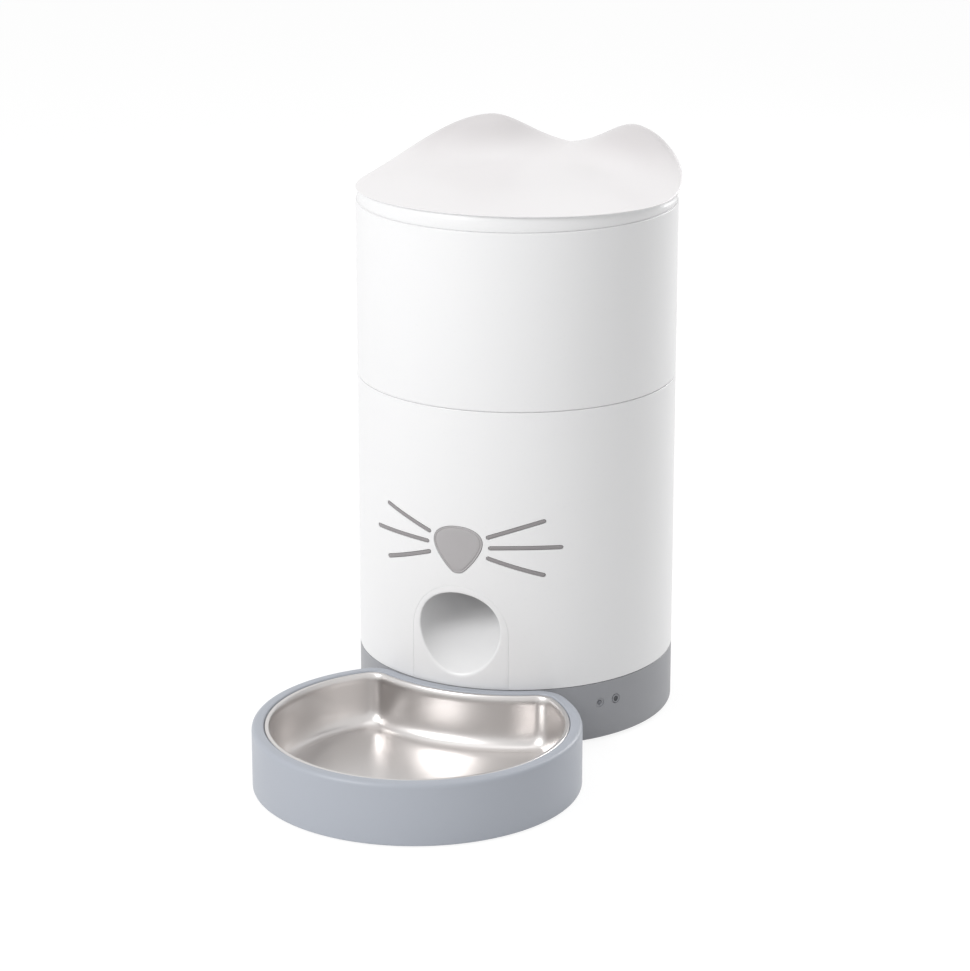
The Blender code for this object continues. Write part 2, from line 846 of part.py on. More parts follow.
def make_deck():
    """The metering deck: rotor chamber, outlet collar, bearing hub and posts for the bracket."""
    deck = tower.add("metering_deck", turned((
        (0, deck_low - deck_hub_drop),
        (deck_hub_radius, deck_low - deck_hub_drop),
        (deck_hub_radius, deck_low),
        (wall_inside - fit_gap, deck_low),
        (wall_inside - fit_gap, deck_top),
        (chamber_radius + chamber_wall, deck_top),
        (chamber_radius + chamber_wall, chamber_top),
        (chamber_radius, chamber_top),
        (chamber_radius, deck_top),
        (0, deck_top),
    ), shell_steps), pale_plastic)
    inside_deck = deck_low + deck_thickness / 2
    collar_low = deck_low - collar_drop
    collar = lofted([
        ellipse(outlet_half_width + collar_wall, outlet_half_depth + collar_wall, outlet_place, z)
        for z in (collar_low, inside_deck)
    ])
    posts = [
        moved(disc(post_radius, bracket_top + fit_gap, inside_deck, tiny_steps), (x, y, 0))
        for x, y in post_places
    ]
    combine(deck, tower.tool("deck_posts", joined(collar, *posts)), "UNION")
    outlet = lofted([
        ellipse(outlet_half_width, outlet_half_depth, outlet_place, z)
        for z in (collar_low - overrun, deck_top + overrun)
    ])
    bore = disc(bush_radius + fit_gap, deck_low - deck_hub_drop - overrun, deck_top + overrun)
    holes = [
        moved(disc(screw_radius + screw_room, deck_low - overrun, deck_top + overrun, screw_steps),
              around(angle, deck_screw_place))
        for angle in deck_screw_angles
    ]
    pilot_top = bracket_low + bracket_screw_length
    holes += [
        moved(disc(screw_radius + fit_gap, bracket_top - overrun, pilot_top, screw_steps), (x, y, 0))
        for x, y in post_places
    ]
    combine(deck, tower.tool("deck_holes", joined(outlet, bore, *holes)), "DIFFERENCE")

    for number, angle in enumerate(deck_screw_angles, 1):
        head_top = deck_top + fit_gap + screw_head_height
        screw = moved(screw_shape(deck_screw_length), turn=math.pi, axis="X")
        tower.add(f"deck_screw_{number}", moved(screw, around(angle, deck_screw_place, head_top)), steel)

    steps = [
        (2 * i / guard_steps - 1) * guard_half_angle for i in range(guard_steps + 1)
    ]
    outer = [around(angle, chamber_radius - fit_gap) for angle in steps]
    inner = [around(angle, guard_inner) for angle in reversed(steps)]
    guard = prism([(p.x, p.y) for p in outer + inner], guard_low, guard_top)
    tower.add("outlet_guard", guard, pale_plastic)
    bush_low = deck_low - deck_hub_drop + bush_stand
    bush = ring(shaft_bore, bush_radius, bush_low, deck_top - bush_stand, small_steps)
    tower.add("shaft_bush", bush, brass)


def gear_outline(teeth):
    """Points of a spur gear with plain straight-sided teeth."""
    pitch_radius = gear_module * teeth / 2
    root = pitch_radius - dedendum_share * gear_module
    tip = pitch_radius + addendum_share * gear_module
    tooth = full_turn / teeth
    flanks = (
        (root, -tooth_root_share),
        (tip, -tooth_tip_share),
        (tip, tooth_tip_share),
        (root, tooth_root_share),
    )
    points = []
    for i in range(teeth):
        for radius, share in flanks:
            angle = tooth * (i + share / 2)
            points.append((radius * math.cos(angle), radius * math.sin(angle)))
    return points


def make_drive():
    """The rotor with what turns on its shaft, the pinion, the motor and their bracket."""
    vanes = []
    for i in range(vane_count):
        middle = full_turn * (i + 1 / 2) / vane_count
        along = Vector((math.cos(middle), math.sin(middle)))
        across = Vector((-along.y, along.x)) * (vane_thickness / 2)
        root = along * rotor_hub
        tip = along * rotor_radius
        vanes += [root - across, tip - across, tip + across, root + across]
        web = middle + full_turn / vane_count / 2
        vanes.append(Vector((math.cos(web), math.sin(web))) * rotor_hub)
    star = prism([tuple(point) for point in vanes], rotor_low, rotor_top)
    wheel = rotor.add("dispensing_rotor", star, grey_plastic)
    bore = disc(shaft_bore, rotor_low - overrun, rotor_top + overrun, small_steps)
    combine(wheel, rotor.tool("rotor_bore", bore), "DIFFERENCE")

    cap_low = rotor_top + fit_gap
    cap_shoulder = cap_low + stirrer_neck
    cap_top = cap_shoulder + stirrer_cone
    stirrer = rotor.add("stirrer", turned((
        (0, cap_low),
        (rotor_hub, cap_low),
        (rotor_hub, cap_shoulder),
        (stirrer_tip, cap_top),
        (0, cap_top),
    ), small_steps), grey_plastic)
    arm_low = cap_low + stirrer_arm_lift
    arms = [
        moved(block((stirrer_reach - shaft_bore - shaft_gap, stirrer_arm_width, stirrer_arm_height),
                    ((stirrer_reach + shaft_bore) / 2, 0, arm_low)), turn=full_turn * i / stirrer_arms)
        for i in range(stirrer_arms)
    ]
    for number, arm in enumerate(arms, 1):
        combine(stirrer, rotor.tool(f"stirrer_arm_{number}", arm), "UNION")
    shaft_top = cap_shoulder
    socket = disc(shaft_bore, cap_low - overrun, shaft_top + fit_gap, small_steps)
    combine(stirrer, rotor.tool("stirrer_socket", socket), "DIFFERENCE")
    rotor.add("drive_shaft", disc(shaft_radius, shaft_low, shaft_top, small_steps), steel)

    wheel_shape = moved(prism(gear_outline(gear_teeth), gear_low, gear_top), turn=math.pi / 2)
    gear = rotor.add("rotor_gear", wheel_shape, gear_plastic)
    bore = disc(shaft_bore, gear_low - overrun, gear_top + overrun, small_steps)
    combine(gear, rotor.tool("gear_bore", bore), "DIFFERENCE")

    half_tooth = full_turn / pinion_teeth / 2
    wheel_shape = moved(prism(gear_outline(pinion_teeth), gear_low, gear_top),
                        (0, gear_distance, 0), turn=-math.pi / 2 + half_tooth)
    drive = pinion.add("drive_pinion", wheel_shape, brass)
    spindle = turned((
        (0, bracket_low + fit_gap),
        (pinion_shaft, bracket_low + fit_gap),
        (pinion_shaft, gear_top - gear_height / 2),
        (pinion_hub, gear_top - gear_height / 2),
        (pinion_hub, gear_top + pinion_hub_height),
        (0, gear_top + pinion_hub_height),
    ), small_steps)
    combine(drive, pinion.tool("pinion_spindle", moved(spindle, (0, gear_distance, 0))), "UNION")

    corners = []
    quarter = math.pi / 2
    left, right = -post_spread, post_spread
    near, far = -post_front, post_rear
    for number, (x, y) in enumerate(((right, far), (left, far), (left, near), (right, near))):
        for i in range(bracket_corner_steps + 1):
            angle = quarter * (number + i / bracket_corner_steps)
            corners.append((x + bracket_margin * math.cos(angle), y + bracket_margin * math.sin(angle)))
    bracket = tower.add("motor_bracket", prism(corners, bracket_low, bracket_top), steel)
    through = (bracket_low - overrun, bracket_top + overrun)
    holes = [
        disc(shaft_bore, *through, small_steps),
        moved(disc(motor_boss_radius + fit_gap, *through), (0, gear_distance, 0)),
    ]
    holes += [
        moved(disc(screw_radius + fit_gap, *through, screw_steps), (x, y, 0)) for x, y in post_places
    ]
    combine(bracket, tower.tool("bracket_holes", joined(*holes)), "DIFFERENCE")
    for number, (x, y) in enumerate(post_places, 1):
        head_low = bracket_low - fit_gap - screw_head_height
        screw = moved(screw_shape(bracket_screw_length), (x, y, head_low))
        tower.add(f"bracket_screw_{number}", screw, steel)

    gearbox_top = bracket_low - fit_gap
    gearbox_low = gearbox_top - gearbox_height
    motor_low = gearbox_low - motor_height
    motor = turned((
        (0, motor_low - motor_cap_height),
        (motor_cap_radius, motor_low - motor_cap_height),
        (motor_cap_radius, motor_low),
        (motor_radius - base_edge, motor_low),
        (motor_radius, motor_low + base_edge),
        (motor_radius, gearbox_low),
        (gearbox_radius, gearbox_low),
        (gearbox_radius, gearbox_top),
        (0, gearbox_top),
    ), motor_steps)
    tower.add("gear_motor", moved(motor, (0, gear_distance, 0)), steel)


def make_hopper():
    """The upper wall and the funnel inside it."""
    ledge_over = hopper_low + hopper_ledge
    spigot_low = hopper_low - hopper_spigot_height
    hopper.add("hopper_shell", turned((
        (body_radius, hopper_top),
        (body_radius, hopper_low),
        (spigot_radius, hopper_low),
        (spigot_radius, spigot_low),
        (spigot_inside, spigot_low),
        (spigot_inside, ledge_over),
        (wall_inside, ledge_over),
        (wall_inside, hopper_top),
    )), white_plastic)
    cone_out = funnel_neck + funnel_wall
    seat_inside = spigot_inside - spigot_wall
    lip_top = funnel_flange_low + funnel_lip
    neck_top = funnel_low + funnel_neck_height
    hopper.add("hopper_funnel", turned((
        (wall_inside - fit_gap, lip_top),
        (wall_inside - fit_gap, funnel_flange_low),
        (seat_inside, funnel_flange_low),
        (seat_inside, funnel_flange_low - funnel_shoulder),
        (cone_out, neck_top - funnel_seat),
        (cone_out, funnel_low),
        (funnel_neck, funnel_low),
        (funnel_neck, neck_top),
    ), shell_steps), pale_plastic)


def smooth_step(value):
    """0 below 0, 1 above 1, and an even curve between."""
    value = min(1, max(0, value))
    return value * value * (3 - 2 * value)


def lid_crease(angle):
    """Height of the crease between the lid's skirt and its top, at an angle from the front."""
    middle = (lid_crease_front + lid_crease_back) / 2
    swing = (lid_crease_front - lid_crease_back) / 2
    return lid_low + middle + swing * math.cos(angle)


def lid_point(angle, share):
    """A point of the lid's top at an angle from the front and a share of the radius."""
    back = (1 - math.cos(angle)) / 2
    roundness = lid_front_round_share + (lid_back_round_share - lid_front_round_share) * back
    rise = (1 - share ** roundness) ** (1 / roundness)
    off_front = abs(math.degrees(math.atan2(math.sin(angle), math.cos(angle))))
    tilt = 2 * math.asin(min(1, rise ** (roundness / 2)))
    bulge = math.exp(-(((off_front - ear_bulge_angle) / ear_bulge_spread) ** 2))
    radius = body_radius * share + ear_bulge * bulge * max(0, math.sin(tilt)) ** ear_bulge_power_share
    x, y = math.sin(angle) * radius / body_radius, -math.cos(angle) * radius / body_radius
    end_rise = lid_front_rise if y < 0 else lid_back_rise
    top = lid_low + lid_middle_rise * (1 - x * x - y * y) + lid_side_rise * x * x + end_rise * y * y
    spread = ear_front_spread if off_front < ear_angle else ear_back_spread
    ear = math.exp(-(((off_front - ear_angle) / spread) ** 2))
    near_rim = smooth_step((radius / body_radius - ear_start_share) / (1 - ear_start_share))
    top += ear_height * ear * near_rim
    crease = lid_crease(angle)
    return Vector((math.sin(angle) * radius, -math.cos(angle) * radius, crease + (top - crease) * rise))


def make_lid():
    """The eared lid, a hollow shell open below."""
    angles = [full_turn * i / shell_steps for i in range(shell_steps)]
    skirt_out = body_radius - lid_skirt_step
    skirt_in = skirt_out - lid_skirt_wall

    def level(radius, height_at):
        return [Vector((math.sin(a) * radius, -math.cos(a) * radius, height_at(a))) for a in angles]

    rows = [
        level(skirt_out, lambda a: lid_low),
        level(skirt_out, lambda a: lid_crease(a) - lid_crease_edge),
        level(body_radius, lid_crease),
    ]
    rows += [[lid_point(a, share) for a in angles] for share in lid_row_shares]
    inside = skirt_in / body_radius
    inner_rows = []
    for share in lid_inner_row_shares:
        row = []
        for a in angles:
            outer = lid_point(a, share)
            row.append(Vector((outer.x * inside, outer.y * inside, outer.z - lid_wall)))
        inner_rows.append(row)
    under_rim = level(skirt_in, lambda a: lid_crease(a) - lid_wall / 2)
    bottom = level(skirt_in, lambda a: lid_low)

    shape = bmesh.new()
    bands = [[shape.verts.new(point) for point in row] for row in rows]
    inner_bands = [[shape.verts.new(point) for point in row] for row in (bottom, under_rim, *inner_rows)]
    top = shape.verts.new(lid_point(0, 0))
    ceiling = shape.verts.new(lid_point(0, 0) - Vector((0, 0, lid_wall)))

    def skin(lower, upper):
        for i in range(shell_steps):
            j = (i + 1) % shell_steps
            shape.faces.new((lower[i], lower[j], upper[j], upper[i]))

    for group in (bands, inner_bands):
        for lower, upper in zip(group, group[1:]):
            skin(lower, upper)
    skin(inner_bands[0], bands[0])
    for band, tip in ((bands[-1], top), (inner_bands[-1], ceiling)):
        for i in range(shell_steps):
            shape.faces.new((band[i], band[(i + 1) % shell_steps], tip))
    lid.add("lid_shell", shape, lid_plastic)


def make_lid_inside():
    """The liner with its plug and drying cup, the seal, the pack and the cap."""
    plug_low = liner_low - plug_depth
    cup_low = liner_low - cup_depth
    lid.add("lid_liner", turned((
        (0, liner_top),
        (wall_inside - lid_skirt_step, liner_top),
        (wall_inside - lid_skirt_step, liner_low),
        (plug_radius, liner_low),
        (plug_radius, plug_low + plug_lip_height),
        (plug_radius + plug_lip, plug_low + plug_lip_height),
        (plug_radius + plug_lip, plug_low),
        (plug_radius - plug_wall, plug_low),
        (plug_radius - plug_wall, liner_low),
        (cup_radius, liner_low),
        (cup_radius, cup_low),
        (cup_radius - cup_wall, cup_low),
        (cup_radius - cup_wall, liner_low),
        (0, liner_low),
    ), shell_steps), pale_plastic)
    seal_low = plug_low + plug_lip_height + fit_gap
    seal = ring(plug_radius + fit_gap, wall_inside - fit_gap, seal_low, seal_low + seal_height)
    lid.add("lid_seal", seal, black_rubber)
    cap_low = cup_low - fit_gap - cap_floor
    pack_low = cap_low + cap_floor + fit_gap
    pack_radius = cup_radius - cup_wall - fit_gap
    lid.add("desiccant_pack", turned((
        (0, pack_low),
        (pack_radius - pack_edge, pack_low),
        (pack_radius, pack_low + pack_edge),
        (pack_radius, pack_low + pack_height - pack_edge),
        (pack_radius - pack_edge, pack_low + pack_height),
        (0, pack_low + pack_height),
    ), motor_steps), pack_paper)
    cap_in = cup_radius + fit_gap
    cap = cap_turn.add("desiccant_cap", turned((
        (0, cap_low),
        (cap_in + cap_wall, cap_low),
        (cap_in + cap_wall, cap_low + cap_height),
        (cap_in, cap_low + cap_height),
        (cap_in, cap_low + cap_floor),
        (0, cap_low + cap_floor),
    ), motor_steps), pale_plastic)
    grip = block((cap_grip_length, cap_grip_width, cap_grip_height),
                 (0, 0, cap_low - cap_grip_height + cap_floor / 2))
    combine(cap, cap_turn.tool("cap_grip", grip), "UNION")
    slots = [
        moved(block((cap_slot_outer - cap_slot_inner, cap_slot_width, 2 * overrun),
                    ((cap_slot_outer + cap_slot_inner) / 2, 0, cap_low - overrun / 2)),
              turn=full_turn * (i + 1 / 2) / cap_slots)
        for i in range(cap_slots)
    ]
    combine(cap, cap_turn.tool("cap_slots", joined(*slots)), "DIFFERENCE")


def make_controls():
    """The indicator, the button and the small board behind them."""
    light_front = body_radius - control_recess_depth
    light_back = wall_inside - light_flange_length - fit_gap
    lens = radial(turned((
        (0, light_back),
        (light_flange, light_back),
        (light_flange, light_back + light_flange_length),
        (light_radius, light_back + light_flange_length),
        (light_radius, light_front),
        (0, light_front),
    ), tiny_steps), light_angle, control_level)
    tower.add("status_light", lens, clear_plastic)
    flange_front = wall_inside - fit_gap
    section = (
        (0, body_radius - button_length),
        (button_radius, body_radius - button_length),
        (button_flange, flange_front - button_flange_length),
        (button_flange, flange_front),
        (button_radius, flange_front),
        (button_radius, body_radius),
        (button_dimple, body_radius),
        (button_dimple, body_radius - button_dimple_depth),
        (0, body_radius - button_dimple_depth),
    )
    cap = radial(turned(section, small_steps), button_angle, control_level)
    button.add("feed_button", cap, dark_plastic)
    middle = key_board_thickness / 2 - key_board_front
    board = moved(block((key_board_width, key_board_thickness, key_board_height),
                        (0, middle, control_level - key_board_height / 2)), turn=key_angle * degree)
    key_board = tower.add("key_board", board, green_board)
    switch_front = body_radius - button_length - button_travel - key_switch_gap
    switch = radial(disc(key_switch_radius, -middle, switch_front, tiny_steps), button_angle, control_level)
    combine(key_board, tower.tool("key_switch", switch), "UNION")


def make_electronics():
    """The control board, the power inlet and the battery bay with its cells."""
    board_low = base_inside + board_height + fit_gap
    board_top = board_low + board_thickness
    board = tower.add("control_board", block((board_width, board_length, board_thickness),
                                             (board_x, board_y, board_low)), green_board)
    on_board = board_top - board_sink
    parts = joined(
        block(module_size, (board_x - board_width / 4, board_y - board_length / 4, on_board)),
        block(socket_size, (board_x + board_width / 2 - socket_size[0], board_y, on_board)),
        block(socket_size, (board_x - board_width / 2 + socket_size[0],
                            board_y + board_length / 2 - socket_size[1], on_board)),
        moved(disc(capacitor_radius, on_board, board_top + capacitor_height, tiny_steps),
              (board_x + board_width / 5, board_y + board_length / 3, 0)),
    )
    combine(board, tower.tool("board_parts", parts), "UNION")

    body = block((inlet_width, inlet_block, 2 * (inlet_middle_height - inlet_low)),
                 (0, inlet_middle, inlet_low))
    inlet = tower.add("power_inlet", body, dark_plastic)
    barrel = disc(inlet_face, inlet_middle, body_radius - inlet_step)
    socket_cut = ring(inlet_pin, inlet_socket, body_radius - inlet_depth, body_radius, small_steps)
    barrel = radial(barrel, inlet_angle, inlet_middle_height)
    socket_cut = radial(socket_cut, inlet_angle, inlet_middle_height)
    combine(inlet, tower.tool("inlet_barrel", barrel), "UNION")
    combine(inlet, tower.tool("inlet_socket", socket_cut), "DIFFERENCE")

    tray_low = base_inside + fit_gap
    tray_height = 2 * cell_radius + 2 * tray_room + tray_roof
    tray = tower.add("battery_tray", block(
        (bay_width + 2 * tray_wall, bay_length + 2 * tray_wall, tray_height), (bay_x, bay_y, tray_low)),
        dark_plastic)
    hollow = block((bay_width, bay_length, tray_height - tray_roof + overrun),
                   (bay_x, bay_y, tray_low - overrun))
    combine(tray, tower.tool("tray_hollow", hollow), "DIFFERENCE")

    cell_height = tray_low + tray_room + cell_radius
    for number in range(cell_count):
        x = bay_x + (number - (cell_count - 1) / 2) * cell_pitch
        section = (
            (0, -cell_length / 2),
            (cell_radius, -cell_length / 2),
            (cell_radius, cell_length / 2 - cell_tip),
            (cell_tip_radius, cell_length / 2 - cell_tip),
            (cell_tip_radius, cell_length / 2),
            (0, cell_length / 2),
        )
        way = math.pi / 2 if number % 2 else -math.pi / 2
        cell = moved(moved(turned(section, small_steps), turn=way, axis="X"), (x, bay_y, cell_height))
        tower.add(f"battery_cell_{number + 1}", cell, cell_wrap)
    for word, side in (("front", -1), ("rear", 1)):
        y = bay_y + side * (bay_length / 2 - fit_gap - contact_thickness / 2)
        plate = block((bay_width - 2 * fit_gap, contact_thickness, contact_height),
                      (bay_x, y, tray_low + tray_room))
        tower.add(f"battery_contact_{word}", plate, steel)

    door_low = base_low + door_sink
    door_width = bay_width + 2 * door_lap - 2 * fit_gap
    door_length = bay_length + 2 * door_lap - 2 * fit_gap
    door_thickness = tray_low - fit_gap - door_low
    door = door_drop.add("battery_door", block(
        (door_width, door_length, door_thickness), (bay_x, bay_y, door_low)), grey_plastic)
    notch = block((door_notch_width, door_notch_length, door_notch_depth + overrun),
                  (bay_x, bay_y + (door_length - door_notch_length) / 2 - door_lap, door_low - overrun))
    combine(door, door_drop.tool("door_notch", notch), "DIFFERENCE")


def meeting_point(first, second):
    """Where circles (middle's y, radius) about two points of the Y axis cross, on the +X side."""
    (y1, r1), (y2, r2) = first, second
    y = (r1 * r1 - r2 * r2 - y1 * y1 + y2 * y2) / (2 * (y2 - y1))
    return Vector((math.sqrt(max(0, r1 * r1 - (y - y1) ** 2)), y))


def arc_points(middle, radius, start, end, steps):
    """Points along an arc, without its last one."""
    return [
        Vector((middle[0] + radius * math.cos(start + (end - start) * i / steps),
                middle[1] + radius * math.sin(start + (end - start) * i / steps)))
        for i in range(steps)
    ]


def crescent(inset, corner, height):
    """A ring of the bowl's outline, drawn in by an inset: a circle with the tower's round cut out."""
    outer = bowl_radius - inset
    notch = body_radius + bowl_gap + inset
    middle = meeting_point((-bowl_distance, outer - corner), (0, notch + corner))
    from_bowl = Vector((middle.x, middle.y + bowl_distance))
    outer_angle = math.atan2(from_bowl.y, from_bowl.x)
    notch_angle = math.atan2(middle.y, middle.x)
    bowl = (0, -bowl_distance)
    points = arc_points(bowl, outer, -math.pi - outer_angle, outer_angle, bowl_arc_steps)
    points += arc_points(middle, corner, outer_angle, notch_angle + math.pi, bowl_corner_steps)
    points += arc_points((0, 0), notch, notch_angle, -math.pi - notch_angle, bowl_notch_steps)
    left = (-middle.x, middle.y)
    points += arc_points(left, corner, -notch_angle, math.pi - outer_angle, bowl_corner_steps)
    return [Vector((p.x, p.y, height)) for p in points]


def make_bowl():
    """The bowl holder, a double-walled ring with a floor, and its rubber pads."""
    rim_low = bowl_height - rim_drop
    inner_wall = rim_width + ledge_step
    rows = (
        (inner_wall - bowl_wall, pocket_floor - pocket_floor_thickness),
        (inner_wall - bowl_wall, rim_low - bowl_wall),
        (bowl_wall, rim_low - bowl_wall),
        (bowl_wall, bowl_low),
        (base_edge / 2, bowl_low),
        (0, bowl_low + 2 * base_edge),
        *((share * rim_width, bowl_height - drop * rim_drop) for share, drop in rim_crown_shares),
        (inner_wall, rim_low),
        (inner_wall, pocket_floor),
    )
    rings = [crescent(inset, bowl_corner - inset, z) for inset, z in rows]
    holder = bowl.add("bowl_holder", lofted(rings), grey_plastic)
    reach = bowl_gap + bowl_wall / 2 + tongue_reach
    tongue = block((tongue_width, reach, tongue_height),
                   (0, -body_radius - bowl_gap - bowl_wall / 2 + reach / 2, bowl_low + tongue_rise))
    combine(holder, bowl.tool("holder_tongue", tongue), "UNION")
    for number, angle in enumerate(pad_angles, 1):
        place = around(angle, pad_place) + Vector((0, -bowl_distance, 0))
        top = pocket_floor - pocket_floor_thickness - fit_gap
        pad = moved(disc(pad_radius, 0, top, small_steps), place)
        bowl.add(f"bowl_pad_{number}", pad, black_rubber)


def make_dish():
    """The pressed steel dish: a beaded rim, a steep wall and a flat floor."""
    start = rim_width + fit_gap
    wall = rim_width + ledge_step + fit_gap + dish_thickness
    seat = bowl_height - rim_drop + fit_gap
    floor = dish_floor_height
    depth = seat - dish_floor_height
    slope = [
        (wall + across * (dish_floor_inset - wall), floor + up * depth) for across, up in dish_wall_shares
    ]
    rows = (
        (dish_floor_inset, floor - dish_thickness),
        *((inset, z - dish_thickness) for inset, z in reversed(slope)),
        (wall, seat),
        (start, seat),
        (start, seat + dish_bead_rise),
        (start + dish_bead / 2, seat + dish_bead_rise + dish_thickness),
        (start + dish_bead + dish_thickness, seat + dish_bead_rise),
        (wall + dish_thickness, seat - dish_thickness),
        *((inset + dish_thickness, z) for inset, z in slope),
        (dish_floor_inset + dish_thickness, floor),
    )
    rings = [crescent(inset, max(dish_corner, bowl_corner - inset), z) for inset, z in rows]
    dish.add("steel_dish", lofted(rings), brushed_steel)


# Places that more than one piece needs
tower_top = base_top + spigot_height
control_level = base_low + control_height
key_angle = (light_angle + button_angle) / 2
key_board_front = body_radius - button_length - key_board_gap
key_post_depth = key_board_thickness + key_board_gap
key_post_place = key_board_front - key_board_thickness - fit_gap - key_post_depth / 2
bay_width = cell_count * cell_pitch + tray_room
bay_length = cell_length + 2 * (contact_thickness + 2 * fit_gap)
inlet_middle_height = base_low + inlet_height
inlet_low = base_inside + inlet_saddle + fit_gap
inlet_front = wall_inside
inlet_middle = inlet_front - inlet_step - inlet_block / 2
post_places = ((post_spread, -post_front), (-post_spread, -post_front), (0, post_rear))

remove_everything()

helper_finish = finish("helper", (0.5, 0.5, 0.5), 0.5)
white_plastic = finish("white plastic", (0.86, 0.86, 0.87), 0.28)
lid_plastic = finish("warm white plastic", (0.86, 0.84, 0.85), 0.3)
pale_plastic = finish("pale inner plastic", (0.72, 0.73, 0.74), 0.45)
grey_plastic = finish("blue grey plastic", (0.33, 0.35, 0.39), 0.35)
nose_plastic = finish("nose grey plastic", (0.43, 0.41, 0.42), 0.5)
whisker_plastic = finish("whisker grey plastic", (0.3, 0.28, 0.29), 0.5)
dark_plastic = finish("dark plastic", (0.05, 0.055, 0.06), 0.4)
gear_plastic = finish("gear plastic", (0.8, 0.78, 0.7), 0.4)
clear_plastic = finish("light pipe", (0.75, 0.8, 0.85), 0.15)
black_rubber = finish("black rubber", (0.03, 0.03, 0.03), 0.85)
brushed_steel = finish("brushed steel", (0.6, 0.57, 0.55), 0.28, 1.0)
steel = finish("plated steel", (0.6, 0.6, 0.62), 0.35, 1.0)
brass = finish("brass", (0.72, 0.52, 0.25), 0.35, 1.0)
green_board = finish("circuit board", (0.03, 0.18, 0.08), 0.45)
cell_wrap = finish("cell wrap", (0.12, 0.14, 0.18), 0.3)
pack_paper = finish("drying pack", (0.75, 0.74, 0.7), 0.9)

tower = Carrier("tower_axis", (0, 0, 0))
hopper = Carrier("hopper_lift_axis", (0, 0, hopper_low), tower)
lid = Carrier("lid_lift_axis", (0, 0, lid_low), hopper)
cap_turn = Carrier("desiccant_cap_axis", (0, 0, liner_low - cup_depth), lid)
rotor = Carrier("rotor_axis", (0, 0, rotor_low), tower)
pinion = Carrier("pinion_axis", (0, gear_distance, gear_low), tower)
button = Carrier("button_axis", around(button_angle, body_radius, control_level), tower)
door_drop = Carrier("battery_door_axis", (bay_x, bay_y, base_low), tower)
bowl = Carrier("bowl_slide_axis", (0, -bowl_distance, 0), tower)
dish = Carrier("dish_lift_axis", (0, -bowl_distance, bowl_height), bowl)

make_base()
make_feet_and_base_screws()
make_lower_shell()
make_face()
make_mouth()
make_deck()
make_drive()
make_hopper()
make_lid()
make_lid_inside()
make_controls()
make_electronics()
make_bowl()
make_dish()
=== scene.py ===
"""Automatic pet feeder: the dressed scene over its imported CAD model.

Every shape is drawn in millimetres about the tower's upright axis, with the front towards
-Y, and is turned into metres in the model's frame when it is settled on its body.
"""

import logging
import math
from dataclasses import dataclass, field
from enum import Enum
from typing import Callable, Iterable, Sequence

import bmesh
import bpy
from mathutils import Matrix, Vector


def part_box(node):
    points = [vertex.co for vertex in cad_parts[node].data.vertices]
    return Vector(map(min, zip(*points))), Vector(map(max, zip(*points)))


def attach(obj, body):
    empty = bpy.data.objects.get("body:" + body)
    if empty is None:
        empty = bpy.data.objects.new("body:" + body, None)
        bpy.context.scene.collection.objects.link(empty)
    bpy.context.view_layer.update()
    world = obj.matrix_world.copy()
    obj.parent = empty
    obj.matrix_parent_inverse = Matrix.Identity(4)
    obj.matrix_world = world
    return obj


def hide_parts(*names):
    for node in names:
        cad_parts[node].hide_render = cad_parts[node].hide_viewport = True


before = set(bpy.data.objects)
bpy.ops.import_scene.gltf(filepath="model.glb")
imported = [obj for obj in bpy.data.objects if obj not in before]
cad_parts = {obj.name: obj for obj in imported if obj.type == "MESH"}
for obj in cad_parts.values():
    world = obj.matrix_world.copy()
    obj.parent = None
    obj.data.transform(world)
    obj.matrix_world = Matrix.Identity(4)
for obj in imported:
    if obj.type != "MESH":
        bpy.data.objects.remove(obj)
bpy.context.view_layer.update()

log = logging.getLogger("feeder")

MM = 0.001
DEGREE = math.pi / 180
TURN = 2 * math.pi
SEGMENTS = 192
low_corner, high_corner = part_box("hopper_shell")
AXIS = Vector((0, (low_corner[1] + high_corner[1]) / 2, 0))

Flat = tuple[float, float]
Flats = tuple[Flat, ...]
Size = tuple[float, float, float]
Colour = tuple[float, float, float]
Section = tuple[tuple[float, ...], ...]


class Body(Enum):
    """The CAD bodies that pieces ride on."""

    TOWER = "tower"
    HOPPER = "hopper"
    LID = "lid"
    CAP = "desiccant_cap"
    ROTOR = "rotor"
    PINION = "pinion"
    BUTTON = "button"
    DOOR = "battery_door"
    BOWL = "bowl"
    DISH = "dish"


class Side(Enum):
    """A side of the feeder, as its factor on x."""

    LEFT = -1
    RIGHT = 1


# --- shader graphs ---


class Socket:
    """An output of a shader node that Python's operators work on."""

    def __init__(self, graph: "Graph", source: bpy.types.NodeSocket) -> None:
        """Wrap an output.

        Args:
            graph: the graph that the output's node is in.
            source: the output itself.
        """
        self.graph = graph
        self.source = source

    def _maths(self, operation: str, first: object, second: object) -> "Socket":
        """Add a Math node, or a Vector Math node where this output is a vector.

        Args:
            operation: the node's operation.
            first: a socket or a number.
            second: a socket or a number.

        Returns:
            The node's output.
        """
        if self.source.type == "VECTOR":
            first, second = (
                (value,) * 3 if isinstance(value, (int, float)) else value for value in (first, second)
            )
            return self.graph.node("ShaderNodeVectorMath", {"operation": operation}, {0: first, 1: second})
        return self.graph.node("ShaderNodeMath", {"operation": operation}, {0: first, 1: second})

    def __add__(self, other: object) -> "Socket":
        """The sum."""
        return self._maths("ADD", self, other)

    __radd__ = __add__

    def __sub__(self, other: object) -> "Socket":
        """The difference."""
        return self._maths("SUBTRACT", self, other)

    def __rsub__(self, other: object) -> "Socket":
        """The difference, the other way round."""
        return self._maths("SUBTRACT", other, self)

    def __mul__(self, other: object) -> "Socket":
        """The product."""
        return self._maths("MULTIPLY", self, other)

    __rmul__ = __mul__

